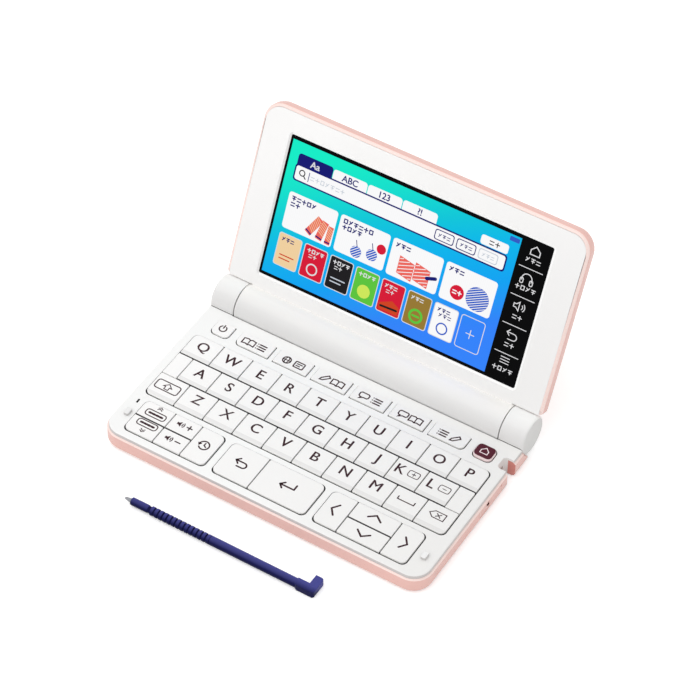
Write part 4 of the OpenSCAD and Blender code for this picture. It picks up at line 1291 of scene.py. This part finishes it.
# For each small tile: its ground, its marks, its words, how many words are in its two lines, and
# its shape.
TILES = [(CREAM, ORANGE, NAVY, 3, 0, "lines"), (RED, STRIP, STRIP, 4, 2, "circle"),
         (BLACK, GREY, STRIP, 4, 2, "lines"), (GREEN, LIME, STRIP, 4, 0, "disc"),
         (RED, ORANGE, STRIP, 3, 2, "hill"), (GOLD, GREEN, STRIP, 3, 0, "sign"),
         (WHITE, BLUE, NAVY, 3, 3, "circle")]
TILE_PITCH = 12.15
TILE_SHAPES = {
    "lines": [([(-3.2, 0), (3.2, 0)], 0.5), ([(-3.2, -1.6), (1.6, -1.6)], 0.5)],
    "circle": [(circle(0, -0.7, 2.3, 24), 0.6, True)],
    "disc": [(circle(0, 0, 2.9, 20), None)],
    "hill": [([(-4.4, -3.9), (4.4, -3.9), (4.4, -0.4), (1.0, 1.4), (-4.4, -1.2)], None)],
    "sign": [(circle(0, -0.4, 2.7, 24), 1.0, True), ([(-1.4, -0.4), (1.4, -0.4)], 0.9)],
}
SIGNS.update(TILE_SHAPES)
SIGNS["add"] = [(panel(10.6, 14.0, 1.1), 0.34, True), ([(-1.8, 0), (1.8, 0)], 0.38),
                ([(0, -1.8), (0, 1.8)], 0.38)]


def tiles(screen):
    """A row of small covers, each with marks and one simple shape, and a frame for another one."""
    screen.cards(7, TILE_PITCH, -49.25, 28.4, 10.9, 14.4, 1.1, 1, STRIP)
    for i, (ground, mark, words, upper, lower, shape) in enumerate(TILES):
        x = -49.25 + TILE_PITCH * i
        screen.patch(x - 5.1, x + 5.1, 21.55, 35.25, 0.8, 2, ground)
        screen.marks(x - 3.0, 33.1, upper, words, 3, 0.85, 0.42)
        screen.marks(x - 2.0, 30.9, lower, words, 3, 0.85, 0.34)
        screen.sign(x, 26.2, mark, 3).draw(shape)
        if shape == "hill":
            screen.sign(x, 23.9, BLACK, 4).line([(-3.6, 0), (3.6, 0.4)], 0.9)
    screen.sign(35.8, 28.4, STRIP, 1).draw("add")


# The touch symbols at the right of the glass: middle and scale.
STRIP_X = 52.7
STRIP_SIGNS = {"strip_house": (STRIP_X, 72.4, 1.15), "strip_ears": (STRIP_X - 0.4, 60.2, 1.1),
               "strip_sound": (STRIP_X, 48.2, 1.05), "strip_back": (STRIP_X, 35.4, 0.95),
               "strip_menu": (STRIP_X, 24.4, 1.0)}
SIGNS.update({
    "strip_house": [(HOUSE, 0.36, True)],
    "strip_ears": [(arc(0, 0, 2.0, -20, 200, 14), 0.36)] + [
        (rounded(x - 0.6, x + 0.6, -2.0, 0.0, [0.5] * 4, 3), 0.36, True) for x in (-1.9, 1.9)],
    "strip_sound": [([(-2.6, -0.7), (-1.6, -0.7), (-0.4, -1.8), (-0.4, 1.8), (-1.6, 0.7), (-2.6, 0.7)], 0.36,
                     True), (arc(0.0, 0, 1.1, -45, 45, 5), 0.34), (arc(0.0, 0, 2.0, -45, 45, 7), 0.34)],
    "strip_back": [([(-2.4, 1.0)] + arc(0.9, -0.5, 1.5, 90, -90, 8) + [(-1.4, -2.0)], 0.4),
                   ([(-1.2, 2.3), (-2.4, 1.0), (-1.2, -0.3)], 0.4)],
    "strip_menu": [([(-1.9, y), (1.9, y)], 0.34) for y in (-1.2, 0, 1.2)],
})


def touch_strip(screen):
    """The touch symbols, with marks for their words and a short rule between them."""
    for s in (64.7, 52.3, 39.7, 27.2):
        screen.sign(STRIP_X, s, STRIP, 0).line([(-5.2, 0), (5.2, 0)], 0.32)
    for name, (x, s, scale) in STRIP_SIGNS.items():
        screen.sign(x, s, STRIP, 0, scale).draw(name)
    for s, count in ((68.3, 3), (56.2, 4), (43.6, 2), (31.2, 2), (20.4, 4)):
        screen.marks(STRIP_X - (count - 1) * MARK_PITCH / 2, s, count, STRIP, 0, 1.0, 0.36)


screen = Display(on_lid)
screen.patch(-58.6, 45.9, 16.2, 75.3, 0.05, 0, GLOW)
search_bar(screen)
panels(screen)
tiles(screen)
touch_strip(screen)
screen.piece("display_image", "lid", SCREEN, 30.0, "screen_glass")


# ---- Inner parts keep their solids, with better finishes ----

INNER = {
    "lcd_module": frame_metal, "batteries": cell_wrap, "battery_contacts": contact_metal,
    "main_board": board_green, "dome_sheet": dome_silicone, "hinge_pins": steel, "screws": steel,
}
for node, finish in INNER.items():
    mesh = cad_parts[node].data
    mesh.materials.clear()
    mesh.materials.append(finish)


# ---- Table, light and camera ----

FLOOR_LIFT = 0.32
FLOOR_HALF = 6.0
HORIZON_LEVEL = 0.6
ZENITH_LEVEL = 0.92
SUN_LEVEL = 0.72
PHOTO_PIXELS = 700


def make_floor():
    made, tree, coords = material("table_white")
    tone = mixed(tree, noise(tree, coords, 9.0), (0.90, 0.90, 0.90, 1), (0.93, 0.93, 0.93, 1))
    path = tree.nodes.new("ShaderNodeLightPath")
    rays = {0: path.outputs["Is Camera Ray"], 1: FLOOR_LIFT}
    seen = add_node(tree, "ShaderNodeMath", rays, operation="MULTIPLY")
    surface(tree, {"Base Color": tone, "Roughness": 0.9, "Specular IOR Level": 0.1,
                   "Emission Color": (1, 1, 1, 1), "Emission Strength": seen.outputs["Value"]})
    mesh = bpy.data.meshes.new("table")
    ground = [(x * FLOOR_HALF, y * FLOOR_HALF, 0) for x, y in ((-1, -1), (1, -1), (1, 1), (-1, 1))]
    mesh.from_pydata(ground, [], [(0, 1, 2, 3)])
    mesh.materials.append(made)
    placed("table", mesh)


def make_light():
    world = bpy.data.worlds.new("studio")
    bpy.context.scene.world = world
    world.use_nodes = True
    tree = world.node_tree
    coords = tree.nodes.new("ShaderNodeTexCoord").outputs["Generated"]
    split = add_node(tree, "ShaderNodeSeparateXYZ", {"Vector": coords})
    height = ranged(tree, split.outputs["Z"], HORIZON_LEVEL, ZENITH_LEVEL, 0.0, 0.8)
    path = tree.nodes.new("ShaderNodeLightPath")
    strength = add_node(tree, "ShaderNodeMix", {"B": 1.0, "Factor": path.outputs["Is Camera Ray"], "A": height})
    feed(tree, tree.nodes["Background"], {"Color": (1, 1, 1, 1), "Strength": strength.outputs["Result"]})
    lamp = bpy.data.lights.new("window", "SUN")
    lamp.energy = SUN_LEVEL
    lamp.angle = math.radians(60)
    placed("window", lamp).rotation_euler = Vector((-0.3, -0.42, 0.85)).to_track_quat("Z", "Y").to_euler()


def make_camera():
    """The photograph's own viewpoint, from the calibration with the key grid."""
    camera = bpy.data.cameras.new("camera")
    camera.sensor_width = 36.0
    camera.lens = 153.93
    camera.shift_x = 2.32 / PHOTO_PIXELS
    camera.shift_y = 1.76 / PHOTO_PIXELS
    camera.clip_start = 0.05
    camera.clip_end = 50.0
    made = placed("camera", camera)
    right = Vector((0.8509102, 0.5250757, 0.0157265)).normalized()
    forward = Vector((-0.3468847, 0.5841215, -0.7338073)).normalized()
    turn = Matrix((right, right.cross(forward), -forward)).transposed().to_4x4()
    made.matrix_world = Matrix.Translation(on_table(406.59, -666.12, 895.33)) @ turn
    bpy.context.scene.camera = made


make_floor()
make_light()
make_camera()
bpy.context.scene.view_settings.view_transform = "Standard"
